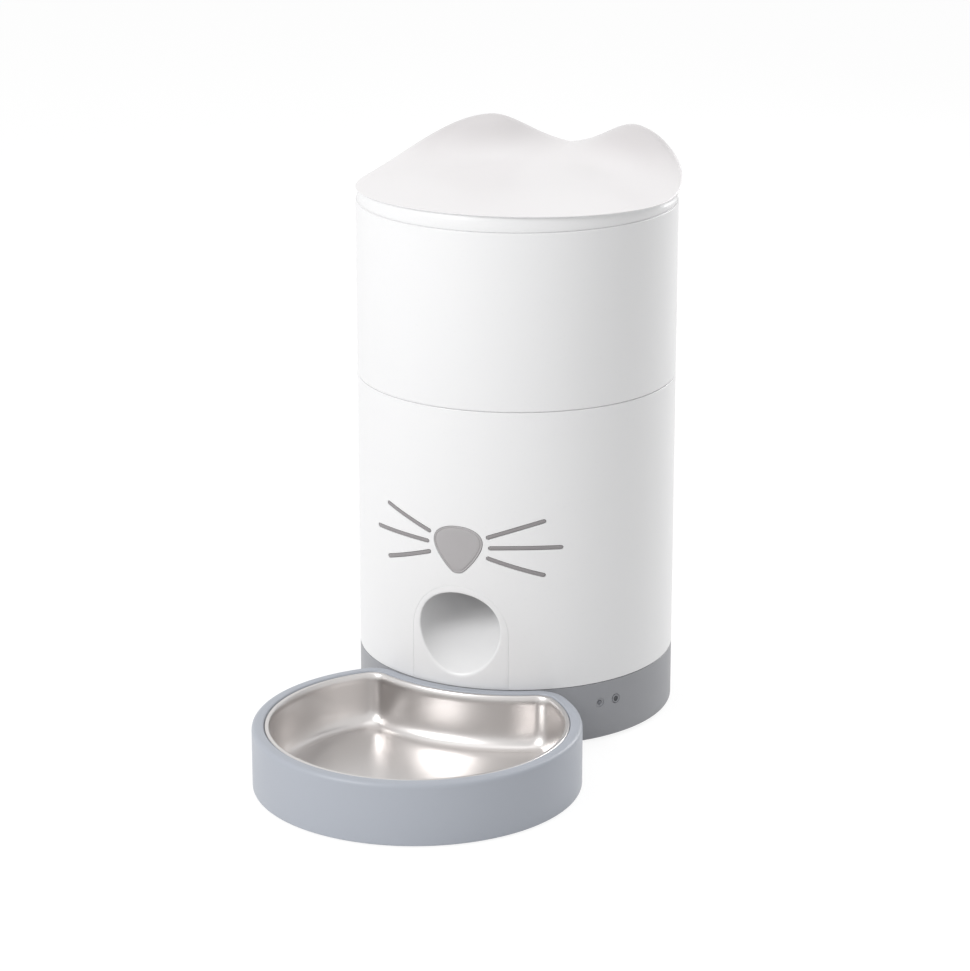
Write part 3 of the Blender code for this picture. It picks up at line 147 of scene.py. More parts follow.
class Graph:
    """The node tree of one material, or of the world."""

    def __init__(self, name: str, owners: str = "materials") -> None:
        """Start an empty tree.

        Args:
            name: the name of the material or world.
            owners: the collection that it is added to.
        """
        self.owner = getattr(bpy.data, owners).new(name)
        self.owner.use_nodes = True
        self.tree = self.owner.node_tree
        self.tree.nodes.clear()

    def node(
        self,
        kind: str,
        settings: dict[str, object] | None = None,
        sockets: dict[int | str, object] | None = None,
        output: int | str = 0,
    ) -> Socket | None:
        """Add any node.

        Args:
            kind: the node's type.
            settings: its properties, and a ramp's stops under "stops"; set first.
            sockets: values or links of its inputs, by name or number.
            output: the output that is wanted.

        Returns:
            That output, or nothing for a node that has none.
        """
        made = self.tree.nodes.new(kind)
        for name, value in (settings or {}).items():
            if name == "stops":
                ramp = made.color_ramp
                for stop, (place, grey) in zip(ramp.elements, value):
                    stop.position, stop.color = place, (grey, grey, grey, 1)
            else:
                setattr(made, name, value)
        for name, value in (sockets or {}).items():
            target = made.inputs[name]
            if isinstance(value, Socket):
                self.tree.links.new(value.source, target)
            else:
                target.default_value = value
        return Socket(self, made.outputs[output]) if made.outputs else None

    def place(self) -> Socket:
        """The point's place on the object, in metres."""
        return self.node("ShaderNodeTexCoord", output="Object")

    def noise(self, size: float, detail: float = 2.0, at: Socket | None = None) -> Socket:
        """Even noise from 0 to 1.

        Args:
            size: how far apart its lumps are, in millimetres.
            detail: how many finer layers it has.
            at: where it is read, the object's own place if left out.

        Returns:
            The noise.
        """
        inputs = {"Vector": at or self.place(), "Scale": 1 / (size * MM), "Detail": detail}
        return self.node("ShaderNodeTexNoise", {}, inputs)

    def ramp(self, value: Socket, low: float, high: float, start: float = 0.0, end: float = 1.0) -> Socket:
        """Stretch a part of a value's range over another one, and clamp it.

        Args:
            value: what is stretched.
            low: where the range starts.
            high: where it ends.
            start: the result at low.
            end: the result at high.

        Returns:
            The stretched value.
        """
        inputs = {"Value": value, "From Min": low, "From Max": high, "To Min": start, "To Max": end}
        return self.node("ShaderNodeMapRange", {}, inputs)

    def mix(self, factor: object, first: object, second: object) -> Socket:
        """The first colour at a factor of 0, the second at 1, and their blend between."""
        return self.node("ShaderNodeMix", {"data_type": "RGBA"}, {0: factor, 6: first, 7: second}, 2)

    def bump(self, height: Socket, depth: float) -> Socket:
        """The normal of a surface raised by a height from 0 to 1, with what 1 stands for in millimetres."""
        return self.node("ShaderNodeBump", {}, {"Height": height, "Distance": depth * MM})

    def edges(self, width: float) -> Socket:
        """Where an edge is near, for wear.

        Args:
            width: how wide the worn band is, in millimetres.

        Returns:
            1 on the edge and 0 away from it.
        """
        soft = self.node("ShaderNodeBevel", {"samples": 4}, {"Radius": width * MM})
        true = self.node("ShaderNodeNewGeometry", output="Normal")
        together = self.node("ShaderNodeVectorMath", {"operation": "DOT_PRODUCT"}, {0: soft, 1: true}, 1)
        return self.ramp(together, 0.995, 0.9)

    def finish(self, **sockets: object) -> bpy.types.Material:
        """Close the graph with a Principled shader, whose inputs have an underscore for each space."""
        named = {name.replace("_", " "): value for name, value in sockets.items()}
        return self.output(self.node("ShaderNodeBsdfPrincipled", {}, named))

    def output(self, surface: Socket, kind: str = "ShaderNodeOutputMaterial") -> bpy.types.ID:
        """Link a surface to the output, and give the material or world."""
        self.node(kind, {}, {"Surface": surface})
        return self.owner


def added(name: str, data: bpy.types.ID) -> bpy.types.Object:
    """A new object of some data, in the scene."""
    made = bpy.data.objects.new(name, data)
    bpy.context.scene.collection.objects.link(made)
    return made


def evaluated(piece: bpy.types.Object) -> bpy.types.Mesh:
    """A plain mesh of what an object's modifiers make."""
    return bpy.data.meshes.new_from_object(piece.evaluated_get(bpy.context.evaluated_depsgraph_get()))


def shade(colour: Colour, factor: float = 1.0) -> tuple[float, float, float, float]:
    """A colour made lighter or darker, with its alpha."""
    return (*(min(1.0, part * factor) for part in colour), 1.0)


# --- finishes ---


@dataclass(frozen=True)
class Finish:
    """What every finish has.

    Attributes:
        name: the material's name.
        slot: the record's material slot; not used.
        colour: its main colour, linear.
        roughness: its mean roughness.
    """

    name: str
    slot: str
    colour: Colour
    roughness: float

    def material(self) -> bpy.types.Material:
        """The material, built once."""
        return bpy.data.materials.get(self.name) or self.build(Graph(self.name))

    def build(self, graph: Graph) -> bpy.types.Material:
        """Build the material; each kind of finish has its own way."""
        raise NotImplementedError


@dataclass(frozen=True)
class MouldedPlastic(Finish):
    """Injection-moulded plastic: a fine spark-eroded grain, faint flow marks, handled spots and, where it has an upper
    colour, a painted shade higher up.

    Attributes:
        grain: how high the grain stands, in millimetres.
        grain_size: how far apart it is, in millimetres.
        flow: how much the colour wanders.
        handled: how much the roughness wanders.
        wear: how much lighter an edge is.
        coat: the gloss over it.
        upper: a darker colour that it turns to higher up, if it has one: painted shade, standing in for the shade
            where the light falls less.
        levels: between which heights the painted shade comes in, in millimetres.
    """

    grain: float = 0.012
    grain_size: float = 0.45
    flow: float = 0.03
    handled: float = 0.1
    wear: float = 0.04
    coat: float = 0.0
    upper: Colour | None = None
    levels: Flat = (0.0, 1.0)

    def build(self, graph: Graph) -> bpy.types.Material:
        """Build the material in a graph."""
        wander = graph.noise(70, 3)
        fine = graph.noise(self.grain_size, 2)
        pits = graph.ramp(graph.noise(self.grain_size * 4, 1), 0.62, 0.8)
        colour = graph.mix(wander * self.flow * 2, shade(self.colour), shade(self.colour, 0.86))
        # Painted shade: the colour turns darker between the two levels, standing in for shade on surfaces turned away
        # from the light.
        if self.upper:
            height = graph.node("ShaderNodeSeparateXYZ", {}, {0: graph.place()}, "Z")
            share = graph.ramp(height + (wander - 0.5) * 0.004, self.levels[0] * MM, self.levels[1] * MM)
            colour = graph.mix(share * share * (3 - 2 * share), colour, shade(self.upper))
        colour = graph.mix(pits * 0.05, colour, shade(self.colour, 0.7))
        edge = graph.edges(0.5)
        colour = graph.mix(edge * self.wear, colour, shade(self.colour, 1.35))
        smudge = graph.ramp(graph.noise(24, 4), 0.35, 0.7, -self.handled / 2, self.handled / 2)
        roughness = self.roughness + smudge + (fine - 0.5) * 0.08 - edge * 0.05
        return graph.finish(
            Base_Color=colour,
            Roughness=roughness,
            Coat_Weight=self.coat,
            Coat_Roughness=0.12,
            Normal=graph.bump(fine + pits * 0.4, self.grain),
        )


@dataclass(frozen=True)
class PressedSteel(Finish):
    """Stainless sheet, brushed round the dish while it turned, with a few fine scratches.

    Attributes:
        middle: the point of the model's frame that the brushing runs round, in millimetres.
    """

    middle: Flat = (0.0, 0.0)

    def build(self, graph: Graph) -> bpy.types.Material:
        """Build the material in a graph."""
        here = graph.place() - (self.middle[0] * MM, self.middle[1] * MM, 0)
        flat = here * (1, 1, 0.6)
        radius = graph.node("ShaderNodeVectorMath", {"operation": "LENGTH"}, {0: flat}, 1)
        brushed = graph.noise(1.3, 2, graph.node("ShaderNodeCombineXYZ", {}, {0: radius}))
        scratch = graph.ramp(graph.noise(1.5, 1, here * (0.04, 1.0, 1.0)), 0.72, 0.8)
        cloud = graph.noise(45, 1)
        colour = graph.mix(cloud * 0.3, shade(self.colour, 1.04), shade(self.colour, 0.92))
        edge = graph.edges(0.35)
        colour = graph.mix(edge * 0.5, colour, shade(self.colour, 1.5))
        roughness = self.roughness + (brushed - 0.5) * 0.025 + scratch * 0.012 + (cloud - 0.5) * 0.03
        return graph.finish(
            Base_Color=colour,
            Metallic=1.0,
            Roughness=roughness,
            Normal=graph.bump(brushed, 0.001),
        )


@dataclass(frozen=True)
class PlatedMetal(Finish):
    """Machined or stamped metal under thin plating, with tool marks and dull spots.

    Attributes:
        marks: how high the tool marks stand, in millimetres.
        tarnish: how dark its dull spots are.
    """

    marks: float = 0.01
    tarnish: float = 0.2

    def build(self, graph: Graph) -> bpy.types.Material:
        """Build the material in a graph."""
        lines = graph.noise(0.5, 3, graph.place() * (1.0, 1.0, 6.0))
        spots = graph.ramp(graph.noise(3, 4), 0.55, 0.75)
        edge = graph.edges(0.3)
        colour = graph.mix(spots * self.tarnish, shade(self.colour), shade(self.colour, 0.6))
        colour = graph.mix(edge * 0.5, colour, shade(self.colour, 1.4))
        return graph.finish(
            Base_Color=colour,
            Metallic=1.0,
            Roughness=self.roughness + spots * 0.2 + (lines - 0.5) * 0.15,
            Normal=graph.bump(lines, self.marks),
        )


@dataclass(frozen=True)
class Rubber(Finish):
    """Matt rubber with a leathery skin and a little dust."""

    def build(self, graph: Graph) -> bpy.types.Material:
        """Build the material in a graph."""
        cells = graph.node(
            "ShaderNodeTexVoronoi", {"feature": "DISTANCE_TO_EDGE"},
            {"Vector": graph.place(), "Scale": 1 / (0.8 * MM)},
        )
        dust = graph.ramp(graph.noise(6, 5), 0.5, 0.75)
        colour = graph.mix(dust * 0.25, shade(self.colour), (0.16, 0.155, 0.15, 1))
        return graph.finish(
            Base_Color=colour,
            Roughness=self.roughness + dust * 0.1,
            Normal=graph.bump(graph.ramp(cells, 0, 0.1), 0.03),
        )


@dataclass(frozen=True)
class SmokedLens(Finish):
    """A dark, polished light pipe, paler in hazy patches."""

    def build(self, graph: Graph) -> bpy.types.Material:
        """Build the material in a graph."""
        haze = graph.noise(0.7, 3)
        colour = graph.mix(haze * 0.6, shade(self.colour), shade(self.colour, 2.2))
        return graph.finish(
            Base_Color=colour,
            Roughness=self.roughness + haze * 0.12,
            Coat_Weight=0.6,
            Coat_Roughness=0.05,
            Normal=graph.bump(graph.noise(0.3, 1), 0.004),
        )


@dataclass(frozen=True)
class CircuitBoard(Finish):
    """Solder resist over copper: tracks in steps, tinned pads and a woven glass ground."""

    def build(self, graph: Graph) -> bpy.types.Material:
        """Build the material in a graph."""
        here = graph.place()
        tracks = graph.node(
            "ShaderNodeTexBrick", {"offset": 0.37, "squash": 0.7},
            {"Vector": here, "Scale": 160.0, "Mortar Size": 0.035, "Color1": (0, 0, 0, 1),
             "Color2": (0, 0, 0, 1), "Mortar": (1, 1, 1, 1)}, "Fac",
        )
        pads = graph.node(
            "ShaderNodeTexVoronoi", {}, {"Vector": here, "Scale": 1 / (4.2 * MM), "Randomness": 0.4}
        )
        pad = graph.ramp(pads, 0.2, 0.17)
        weave = graph.noise(0.35, 1)
        colour = graph.mix(tracks * 0.55, shade(self.colour, 0.8), shade(self.colour, 2.2))
        colour = graph.mix(pad, colour, (0.62, 0.6, 0.52, 1))
        return graph.finish(
            Base_Color=colour,
            Metallic=pad,
            Roughness=self.roughness + weave * 0.1 - pad * 0.1,
            Normal=graph.bump(tracks + pad + weave * 0.2, 0.03),
        )


@dataclass(frozen=True)
class PrintedFilm(Finish):
    """The shrunk sleeve of a cell: dark film with a paler band and a metal end.

    Attributes:
        middle: where the cell's length is centred in the model's frame, in millimetres of y.
        half: half the sleeve's length, in millimetres.
    """

    middle: float = 0.0
    half: float = 24.0

    def build(self, graph: Graph) -> bpy.types.Material:
        """Build the material in a graph."""
        along = graph.node("ShaderNodeSeparateXYZ", {}, {0: graph.place()}, "Y")
        away = graph.node("ShaderNodeMath", {"operation": "ABSOLUTE"}, {0: along - self.middle * MM})
        band = graph.ramp(away, (self.half - 8) * MM, (self.half - 7.8) * MM)
        end = graph.ramp(away, (self.half - 0.5) * MM, (self.half - 0.3) * MM)
        creases = graph.noise(1.1, 3)
        colour = graph.mix(band, shade(self.colour), (0.3, 0.3, 0.28, 1))
        colour = graph.mix(end, colour, (0.6, 0.6, 0.6, 1))
        return graph.finish(
            Base_Color=graph.mix(creases * 0.2, colour, (0.02, 0.02, 0.02, 1)),
            Metallic=end,
            Roughness=self.roughness + creases * 0.15,
            Normal=graph.bump(creases, 0.03),
        )


@dataclass(frozen=True)
class Paper(Finish):
    """Fibrous paper, dimpled by the beads behind it."""

    def build(self, graph: Graph) -> bpy.types.Material:
        """Build the material in a graph."""
        beads = graph.node("ShaderNodeTexVoronoi", {}, {"Vector": graph.place(), "Scale": 1 / (3 * MM)})
        fibre = graph.noise(0.4, 5)
        colour = graph.mix(fibre * 0.3, shade(self.colour), shade(self.colour, 0.75))
        return graph.finish(
            Base_Color=colour,
            Roughness=self.roughness - fibre * 0.1,
            Normal=graph.bump(beads * -1 + fibre * 0.2, 0.25),
        )


WHITE = MouldedPlastic("white plastic", "white_plastic", (0.86, 0.86, 0.865), 0.32, grain=0.005, flow=0.008,
                       handled=0.03, coat=0.12)
# Painted shade: the lid's colour darkens above 321 mm, standing in for the shade on its ears, which face away from the
# light.
LID_WHITE_WITH_PAINTED_SHADE = MouldedPlastic("warm white plastic", "lid_plastic", (0.85, 0.83, 0.835), 0.36, grain=0.005,
                           flow=0.01, handled=0.03, coat=0.4, upper=(0.68, 0.655, 0.66), levels=(321, 338))
PALE = MouldedPlastic("pale inner plastic", "pale_plastic", (0.7, 0.71, 0.72), 0.45, grain=0.02)
GREY = MouldedPlastic("blue grey plastic", "grey_plastic", (0.42, 0.445, 0.495), 0.4, grain=0.008, flow=0.03,
                      handled=0.05, wear=0.2)
BASE_GREY = MouldedPlastic("grey plastic", "grey_plastic", (0.325, 0.33, 0.35), 0.42, grain=0.008, flow=0.03,
                           handled=0.05, wear=0.2)
NOSE = MouldedPlastic("nose grey plastic", "nose_plastic", (0.44, 0.425, 0.43), 0.5, flow=0.06, wear=0.1)
WHISKER = MouldedPlastic("whisker grey plastic", "whisker_plastic", (0.3, 0.285, 0.29), 0.5, flow=0.06)
DARK = MouldedPlastic("dark plastic", "dark_plastic", (0.05, 0.053, 0.06), 0.4, wear=0.3)
GEAR = MouldedPlastic("gear plastic", "gear_plastic", (0.78, 0.76, 0.68), 0.4)
LENS = SmokedLens("light pipe", "clear_plastic", (0.09, 0.095, 0.11), 0.12)
RUBBER = Rubber("black rubber", "black_rubber", (0.03, 0.03, 0.03), 0.8)
SEAL = Rubber("sealing rubber", "black_rubber", (0.2, 0.2, 0.205), 0.65)
PLATED = PlatedMetal("plated steel", "steel", (0.55, 0.55, 0.57), 0.35)
MOTOR = PlatedMetal("motor casing", "motor_casing", (0.5, 0.5, 0.51), 0.4, tarnish=0.1)
BRASS = PlatedMetal("brass", "brass", (0.72, 0.52, 0.25), 0.35)
BOARD = CircuitBoard("circuit board", "circuit_board", (0.03, 0.16, 0.075), 0.42)
SLEEVE = PrintedFilm("cell wrap", "cell_wrap", (0.07, 0.085, 0.12), 0.32, middle=84.15, half=24.7)
PACK = Paper("drying pack", "pack_paper", (0.76, 0.75, 0.71), 0.9)


# --- outlines and sections ---


def around(angle: float, radius: float, height: float = 0.0) -> Vector:
    """A point at so many degrees from the front, towards +X."""
    return Vector((radius * math.sin(angle * DEGREE), -radius * math.cos(angle * DEGREE), height))


def places(angles: Iterable[float], radius: float, height: float = 0.0) -> list[Vector]:
    """A point at each angle."""
    return [around(angle, radius, height) for angle in angles]


def on_wall(x: float, z: float, radius: float) -> Vector:
    """A point on the front of an upright round wall, from its x and z."""
    return Vector((x, -math.sqrt(radius * radius - x * x), z))


def rounded(corners: Sequence[tuple[float, ...]], closed: bool = True, steps: int = 4) -> list[Flat]:
    """Round the corners of a flat outline.

    Args:
        corners: each corner's two coordinates, and the size of its fillet where it has one.
        closed: whether the last corner joins the first.
        steps: how many steps a fillet has.

    Returns:
        The outline's points.
    """
    points: list[Flat] = []
    count = len(corners)
    for i, corner in enumerate(corners):
        here = Vector(corner[:2])
        fillet = corner[2] if len(corner) > 2 else 0.0
        if not fillet or (not closed and i in (0, count - 1)):
            points.append(tuple(here))
            continue
        before = Vector(corners[i - 1][:2]) - here
        after = Vector(corners[(i + 1) % count][:2]) - here
        half = before.angle(after) / 2
        cut = min(fillet / max(0.05, math.tan(half)), 0.45 * before.length, 0.45 * after.length)
        start, end = here + before.normalized() * cut, here + after.normalized() * cut
        for step in range(steps + 1):
            t = step / steps
            points.append(tuple(start * (1 - t) ** 2 + here * (2 * t * (1 - t)) + end * t * t))
    return points


def flowing(points: Sequence[Flat], steps: int = 5) -> list[Flat]:
    """A smooth closed curve through a few points.

    Args:
        points: the points it passes through.
        steps: how many steps lie between two of them.

    Returns:
        The curve's points.
    """
    count = len(points)
    curve: list[Flat] = []
    for i in range(count):
        a, b, c, d = (Vector(points[(i + k) % count]) for k in (-1, 0, 1, 2))
        for step in range(steps):
            t = step / steps
            curve.append(tuple(0.5 * (
                2 * b + (c - a) * t + (2 * a - 5 * b + 4 * c - d) * t * t + (3 * b - a - 3 * c + d) * t ** 3
            )))
    return curve


def grown(outline: Sequence[Flat], margin: float) -> list[Flat]:
    """Move a closed outline outwards.

    Args:
        outline: its points, counter-clockwise.
        margin: how far they move.

    Returns:
        The moved points.
    """
    moved: list[Flat] = []
    count = len(outline)
    for i, point in enumerate(outline):
        along = Vector(outline[(i + 1) % count]) - Vector(outline[i - 1])
        out = Vector((along.y, -along.x)).normalized()
        moved.append(tuple(Vector(point) + out * margin))
    return moved


def smooth_step(value: float) -> float:
    """0 below 0, 1 above 1, and an even curve between."""
    value = min(1.0, max(0.0, value))
    return value * value * (3 - 2 * value)


# --- Geometry Nodes ---


class Pattern:
    """A Geometry Nodes tree that repeats the mesh that it is put on."""

    def __init__(self, name: str, sizes: dict[str, str]) -> None:
        """Start a tree.

        Args:
            name: the tree's name.
            sizes: each named input and its socket type.
        """
        self.tree = bpy.data.node_groups.new(name, "GeometryNodeTree")
        face = self.tree.interface
        face.new_socket("Geometry", in_out="INPUT", socket_type="NodeSocketGeometry")
        self.names = {
            label: face.new_socket(label, in_out="INPUT", socket_type=kind).identifier
            for label, kind in {**sizes, "Finish": "NodeSocketMaterial"}.items()
        }
        face.new_socket("Geometry", in_out="OUTPUT", socket_type="NodeSocketGeometry")
        self.given = self.tree.nodes.new("NodeGroupInput")

    def node(self, kind: str, settings: dict[str, object], sockets: dict[int | str, object]) -> bpy.types.Node:
        """Add a node.

        Args:
            kind: its type.
            settings: its properties, set first.
            sockets: values or links of its inputs.

        Returns:
            The node.
        """
        made = self.tree.nodes.new(kind)
        for name, value in settings.items():
            setattr(made, name, value)
        for name, value in sockets.items():
            if isinstance(value, bpy.types.NodeSocket):
                self.tree.links.new(value, made.inputs[name])
            else:
                made.inputs[name].default_value = value
        return made

    def maths(self, operation: str, first: object, second: object = 0.0) -> bpy.types.NodeSocket:
        """A Math node's output."""
        return self.node("ShaderNodeMath", {"operation": operation}, {0: first, 1: second}).outputs[0]

    def close(self, points: bpy.types.NodeSocket, item: bpy.types.NodeSocket,
              rotation: bpy.types.NodeSocket | None = None) -> "Pattern":
        """Put the item on the points, realise the copies and give them the finish.

        Args:
            points: where the copies go.
            item: what is copied.
            rotation: how each is turned.

        Returns:
            The pattern.
        """
        sockets: dict[int | str, object] = {"Points": points, "Instance": item}
        if rotation:
            sockets["Rotation"] = rotation
        copies = self.node("GeometryNodeInstanceOnPoints", {}, sockets)
        real = self.node("GeometryNodeRealizeInstances", {}, {"Geometry": copies.outputs[0]})
        finish = self.given.outputs["Finish"]
        dressed = self.node("GeometryNodeSetMaterial", {}, {"Geometry": real.outputs[0], "Material": finish})
        self.node("NodeGroupOutput", {}, {0: dressed.outputs[0]})
        return self

    def run(self, mesh: bpy.types.Mesh, finish: Finish, sizes: dict[str, object]) -> bpy.types.Mesh:
        """Repeat a mesh.

        Args:
            mesh: what is repeated.
            finish: what the copies are made of.
            sizes: the value of each named input.

        Returns:
            A new plain mesh.
        """
        host = added("host", mesh)
        live = host.modifiers.new("pattern", "NODES")
        live.node_group = self.tree
        for label, value in {**sizes, "Finish": finish.material()}.items():
            live[self.names[label]] = value
        made = evaluated(host)
        host.modifiers.remove(live)
        bpy.data.objects.remove(host)
        return made


def wheel_pattern() -> Pattern:
    """Copies round the upright axis, each turned to face outwards."""
    made = Pattern("round the axis", {
        "Count": "NodeSocketInt", "Radius": "NodeSocketFloat", "Start": "NodeSocketFloat",
    })
    given = made.given.outputs
    index = made.node("GeometryNodeInputIndex", {}, {}).outputs[0]
    step = made.maths("DIVIDE", TURN, given["Count"])
    angle = made.maths("ADD", made.maths("MULTIPLY", index, step), given["Start"])
    x = made.maths("MULTIPLY", made.maths("SINE", angle), given["Radius"])
    y = made.maths("MULTIPLY", made.maths("COSINE", angle), made.maths("MULTIPLY", given["Radius"], -1.0))
    place = made.node("ShaderNodeCombineXYZ", {}, {0: x, 1: y}).outputs[0]
    turn = made.node("ShaderNodeCombineXYZ", {}, {2: angle}).outputs[0]
    points = made.node("GeometryNodePoints", {}, {"Count": given["Count"], "Position": place})
    return made.close(points.outputs[0], given["Geometry"], turn)


def row_pattern() -> Pattern:
    """Copies in a straight row."""
    made = Pattern("in a row", {"Count": "NodeSocketInt", "Step": "NodeSocketVector"})
    given = made.given.outputs
    index = made.node("GeometryNodeInputIndex", {}, {}).outputs[0]
    place = made.node("ShaderNodeVectorMath", {"operation": "SCALE"}, {0: given["Step"], "Scale": index})
    points = made.node("GeometryNodePoints", {}, {"Count": given["Count"], "Position": place.outputs[0]})
    return made.close(points.outputs[0], given["Geometry"])


def seat_pattern() -> Pattern:
    """Copies of an item on the seats, which are the vertices of the mesh that it is put on."""
    made = Pattern("on its seats", {"Item": "NodeSocketObject"})
    given = made.given.outputs
    item = made.node("GeometryNodeObjectInfo", {}, {"Object": given["Item"]})
    points = made.node("GeometryNodeMeshToPoints", {}, {"Mesh": given["Geometry"]})
    return made.close(points.outputs[0], item.outputs["Geometry"])


WHEEL, ROW, SEAT = wheel_pattern(), row_pattern(), seat_pattern()


# --- shapes ---


@dataclass
class Shape:
    """A piece in the making, in millimetres about the tower's axis."""

    bm: bmesh.types.BMesh = field(default_factory=bmesh.new)

    def loft(self, rings: Sequence[Sequence[Vector]], loop: bool = False) -> list[list[bmesh.types.BMVert]]:
        """Skin closed rings of equal length.

        Args:
            rings: the rings' points.
            loop: whether the last ring joins the first.

        Returns:
            The rings' vertices.
        """
        rows = [[self.bm.verts.new(point) for point in ring] for ring in rings]
        pairs = list(zip(rows, rows[1:])) + ([(rows[-1], rows[0])] if loop else [])
        for lower, upper in pairs:
            for i in range(len(lower)):
                j = (i + 1) % len(lower)
                self.bm.faces.new((lower[i], lower[j], upper[j], upper[i]))
        return rows

    def fan(self, row: Sequence[bmesh.types.BMVert], tip: Vector) -> None:
        """Close a ring of vertices to one point."""
        middle = self.bm.verts.new(tip)
        for i in range(len(row)):
            self.bm.faces.new((row[i], row[(i + 1) % len(row)], middle))

    def solid(self, rings: Sequence[Sequence[Vector]], tips: Sequence[Vector] = ()) -> "Shape":
        """Skin rings and close both ends to two tips, or else to the middles of the end rings."""
        rows = self.loft(rings)
        tips = tips or [sum(ring, Vector()) / len(ring) for ring in (rings[0], rings[-1])]
        self.fan(rows[0], tips[0])
        self.fan(rows[-1], tips[1])
        return self

    def lathe(self, section: Sequence[tuple[float, ...]], segments: int = SEGMENTS, steps: int = 4) -> "Shape":
        """Turn a section about the axis.

        Args:
            section: its radius, height and, if it is rounded, fillet at each corner; it starts
                and ends on the axis, or else closes on itself.
            segments: the steps of a turn.
            steps: the steps of a fillet.

        Returns:
            The shape.
        """
        angles = [TURN * i / segments for i in range(segments)]
        poles = section[0][0] == 0
        if any(len(corner) > 2 for corner in section):
            section = rounded(section, not poles, steps)
        rings = [
            [Vector((r * math.sin(a), -r * math.cos(a), z)) for a in angles]
            for r, z in (section[1:-1] if poles else section)
        ]
        rows = self.loft(rings, loop=not poles)
        if poles:
            self.fan(rows[0], Vector((0, 0, section[0][1])))
            self.fan(rows[-1], Vector((0, 0, section[-1][1])))
        return self

    def prism(self, outline: Sequence[Flat], low: float, high: float) -> "Shape":
        """An upright prism of a flat outline."""
        return self.solid([[Vector((x, y, z)) for x, y in outline] for z in (low, high)])

    def rod(self, radius: float, low: float, high: float, segments: int = 48) -> "Shape":
        """A round bar up the axis, mostly to cut a hole with."""
        return self.lathe(((0, low), (radius, low), (radius, high), (0, high)), segments)

    def block(self, size: Size, low: Vector, corner: float, edge: float = 0.3) -> "Shape":
        """A block with round upright corners and softened edges.

        Args:
            size: its width, length and height.
            low: the middle of its underside.
            corner: the radius of the upright corners.
            edge: the size of the softened edges.

        Returns:
            The shape.
        """
        width, length, height = size
        outline = rounded([
            (a * width / 2, b * length / 2, corner) for a, b in ((-1, -1), (1, -1), (1, 1), (-1, 1))
        ], steps=6)
        levels = ((edge, 0.0), (edge * 0.3, edge * 0.3), (0.0, edge),
                  (0.0, height - edge), (edge * 0.3, height - edge * 0.3), (edge, height))
        return self.solid([
            [low + Vector((x * (1 - 2 * inset / width), y * (1 - 2 * inset / length), z)) for x, y in outline]
            for inset, z in levels
        ])

    def moved(self, place: Sequence[float] = (0, 0, 0), turn: float = 0.0, axis: str = "Z") -> "Shape":
        """Turn it about an axis through the origin, in radians, and then move it."""
        matrix = Matrix.Translation(place) @ Matrix.Rotation(turn, 4, axis)
        bmesh.ops.transform(self.bm, matrix=matrix, verts=self.bm.verts)
        return self

    def outwards(self, angle: float, height: float) -> "Shape":
        """Lay what is drawn up the axis out towards an angle, in degrees from the front."""
        self.moved(turn=math.pi / 2, axis="X")
        return self.moved(Vector((0, 0, height)), angle * DEGREE)

    def mesh(self) -> bpy.types.Mesh:
        """A plain mesh of it, merged and facing outwards."""
        bmesh.ops.remove_doubles(self.bm, verts=self.bm.verts, dist=0.0005)
        bmesh.ops.recalc_face_normals(self.bm, faces=self.bm.faces)
        made = bpy.data.meshes.new("shape")
        self.bm.to_mesh(made)
        return made

    def take(self, mesh: bpy.types.Mesh) -> "Shape":
        """Add a plain mesh to it, and remove the mesh."""
        self.bm.from_mesh(mesh)
        bpy.data.meshes.remove(mesh)
        return self

    def join(self, *others: "Shape") -> "Shape":
        """Add other shapes to it."""
        for other in others:
            self.take(other.mesh())
            other.bm.free()
        return self

    def carve(self, *tools: "Shape") -> "Shape":
        """Cut other shapes out of it."""
        tool, body = added("tool", Shape().join(*tools).mesh()), added("body", self.mesh())
        cut = body.modifiers.new("cut", "BOOLEAN")
        cut.object, cut.operation, cut.solver, cut.use_self = tool, "DIFFERENCE", "EXACT", True
        result = evaluated(body)
        for made in (tool, body):
            bpy.data.objects.remove(made)
        self.bm.clear()
        return self.take(result)

    def repeated(self, pattern: Pattern, finish: Finish, **sizes: object) -> "Shape":
        """Repeat it with a Geometry Nodes tree.

        Args:
            pattern: the tree.
            finish: what it is made of.
            sizes: the tree's named inputs.

        Returns:
            The shape of all copies.
        """
        result = pattern.run(self.mesh(), finish, sizes)
        self.bm.clear()
        return self.take(result)

    def seated(self, seats: Iterable[Vector], finish: Finish) -> "Shape":
        """A copy of it on each seat."""
        item = added("item", self.mesh())
        points = bpy.data.meshes.new("seats")
        points.from_pydata([tuple(seat) for seat in seats], [], [])
        result = SEAT.run(points, finish, {"Item": item})
        bpy.data.objects.remove(item)
        self.bm.clear()
        return self.take(result)

    def settle(self, name: str, finish: Finish, body: Body, *nodes: str, sharp: float = 35.0) -> bpy.types.Object:
        """Turn it into a finished piece that rides on its body.

        Args:
            name: the piece's name.
            finish: what it is made of.
            body: what it rides on.
            nodes: the CAD nodes that it stands for, if not the one of its own name.
            sharp: the angle in degrees past which an edge stays sharp.

        Returns:
            The piece's object.
        """
        mesh = self.mesh()
        self.bm.free()
        mesh.transform(Matrix.Translation(AXIS) @ Matrix.Scale(MM, 4))
        mesh.name = name
        mesh.materials.clear()
        mesh.materials.append(finish.material())
        mesh.shade_smooth()
        mesh.set_sharp_from_angle(angle=sharp * DEGREE)
        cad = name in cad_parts
        made = added(f"{name}_dressed" if cad else name, mesh)
        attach(made, body.value)
        if cad or nodes:
            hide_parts(*(nodes or (name,)))
        log.info("%s: %d faces on %s", name, len(mesh.polygons), body.value)
        return made


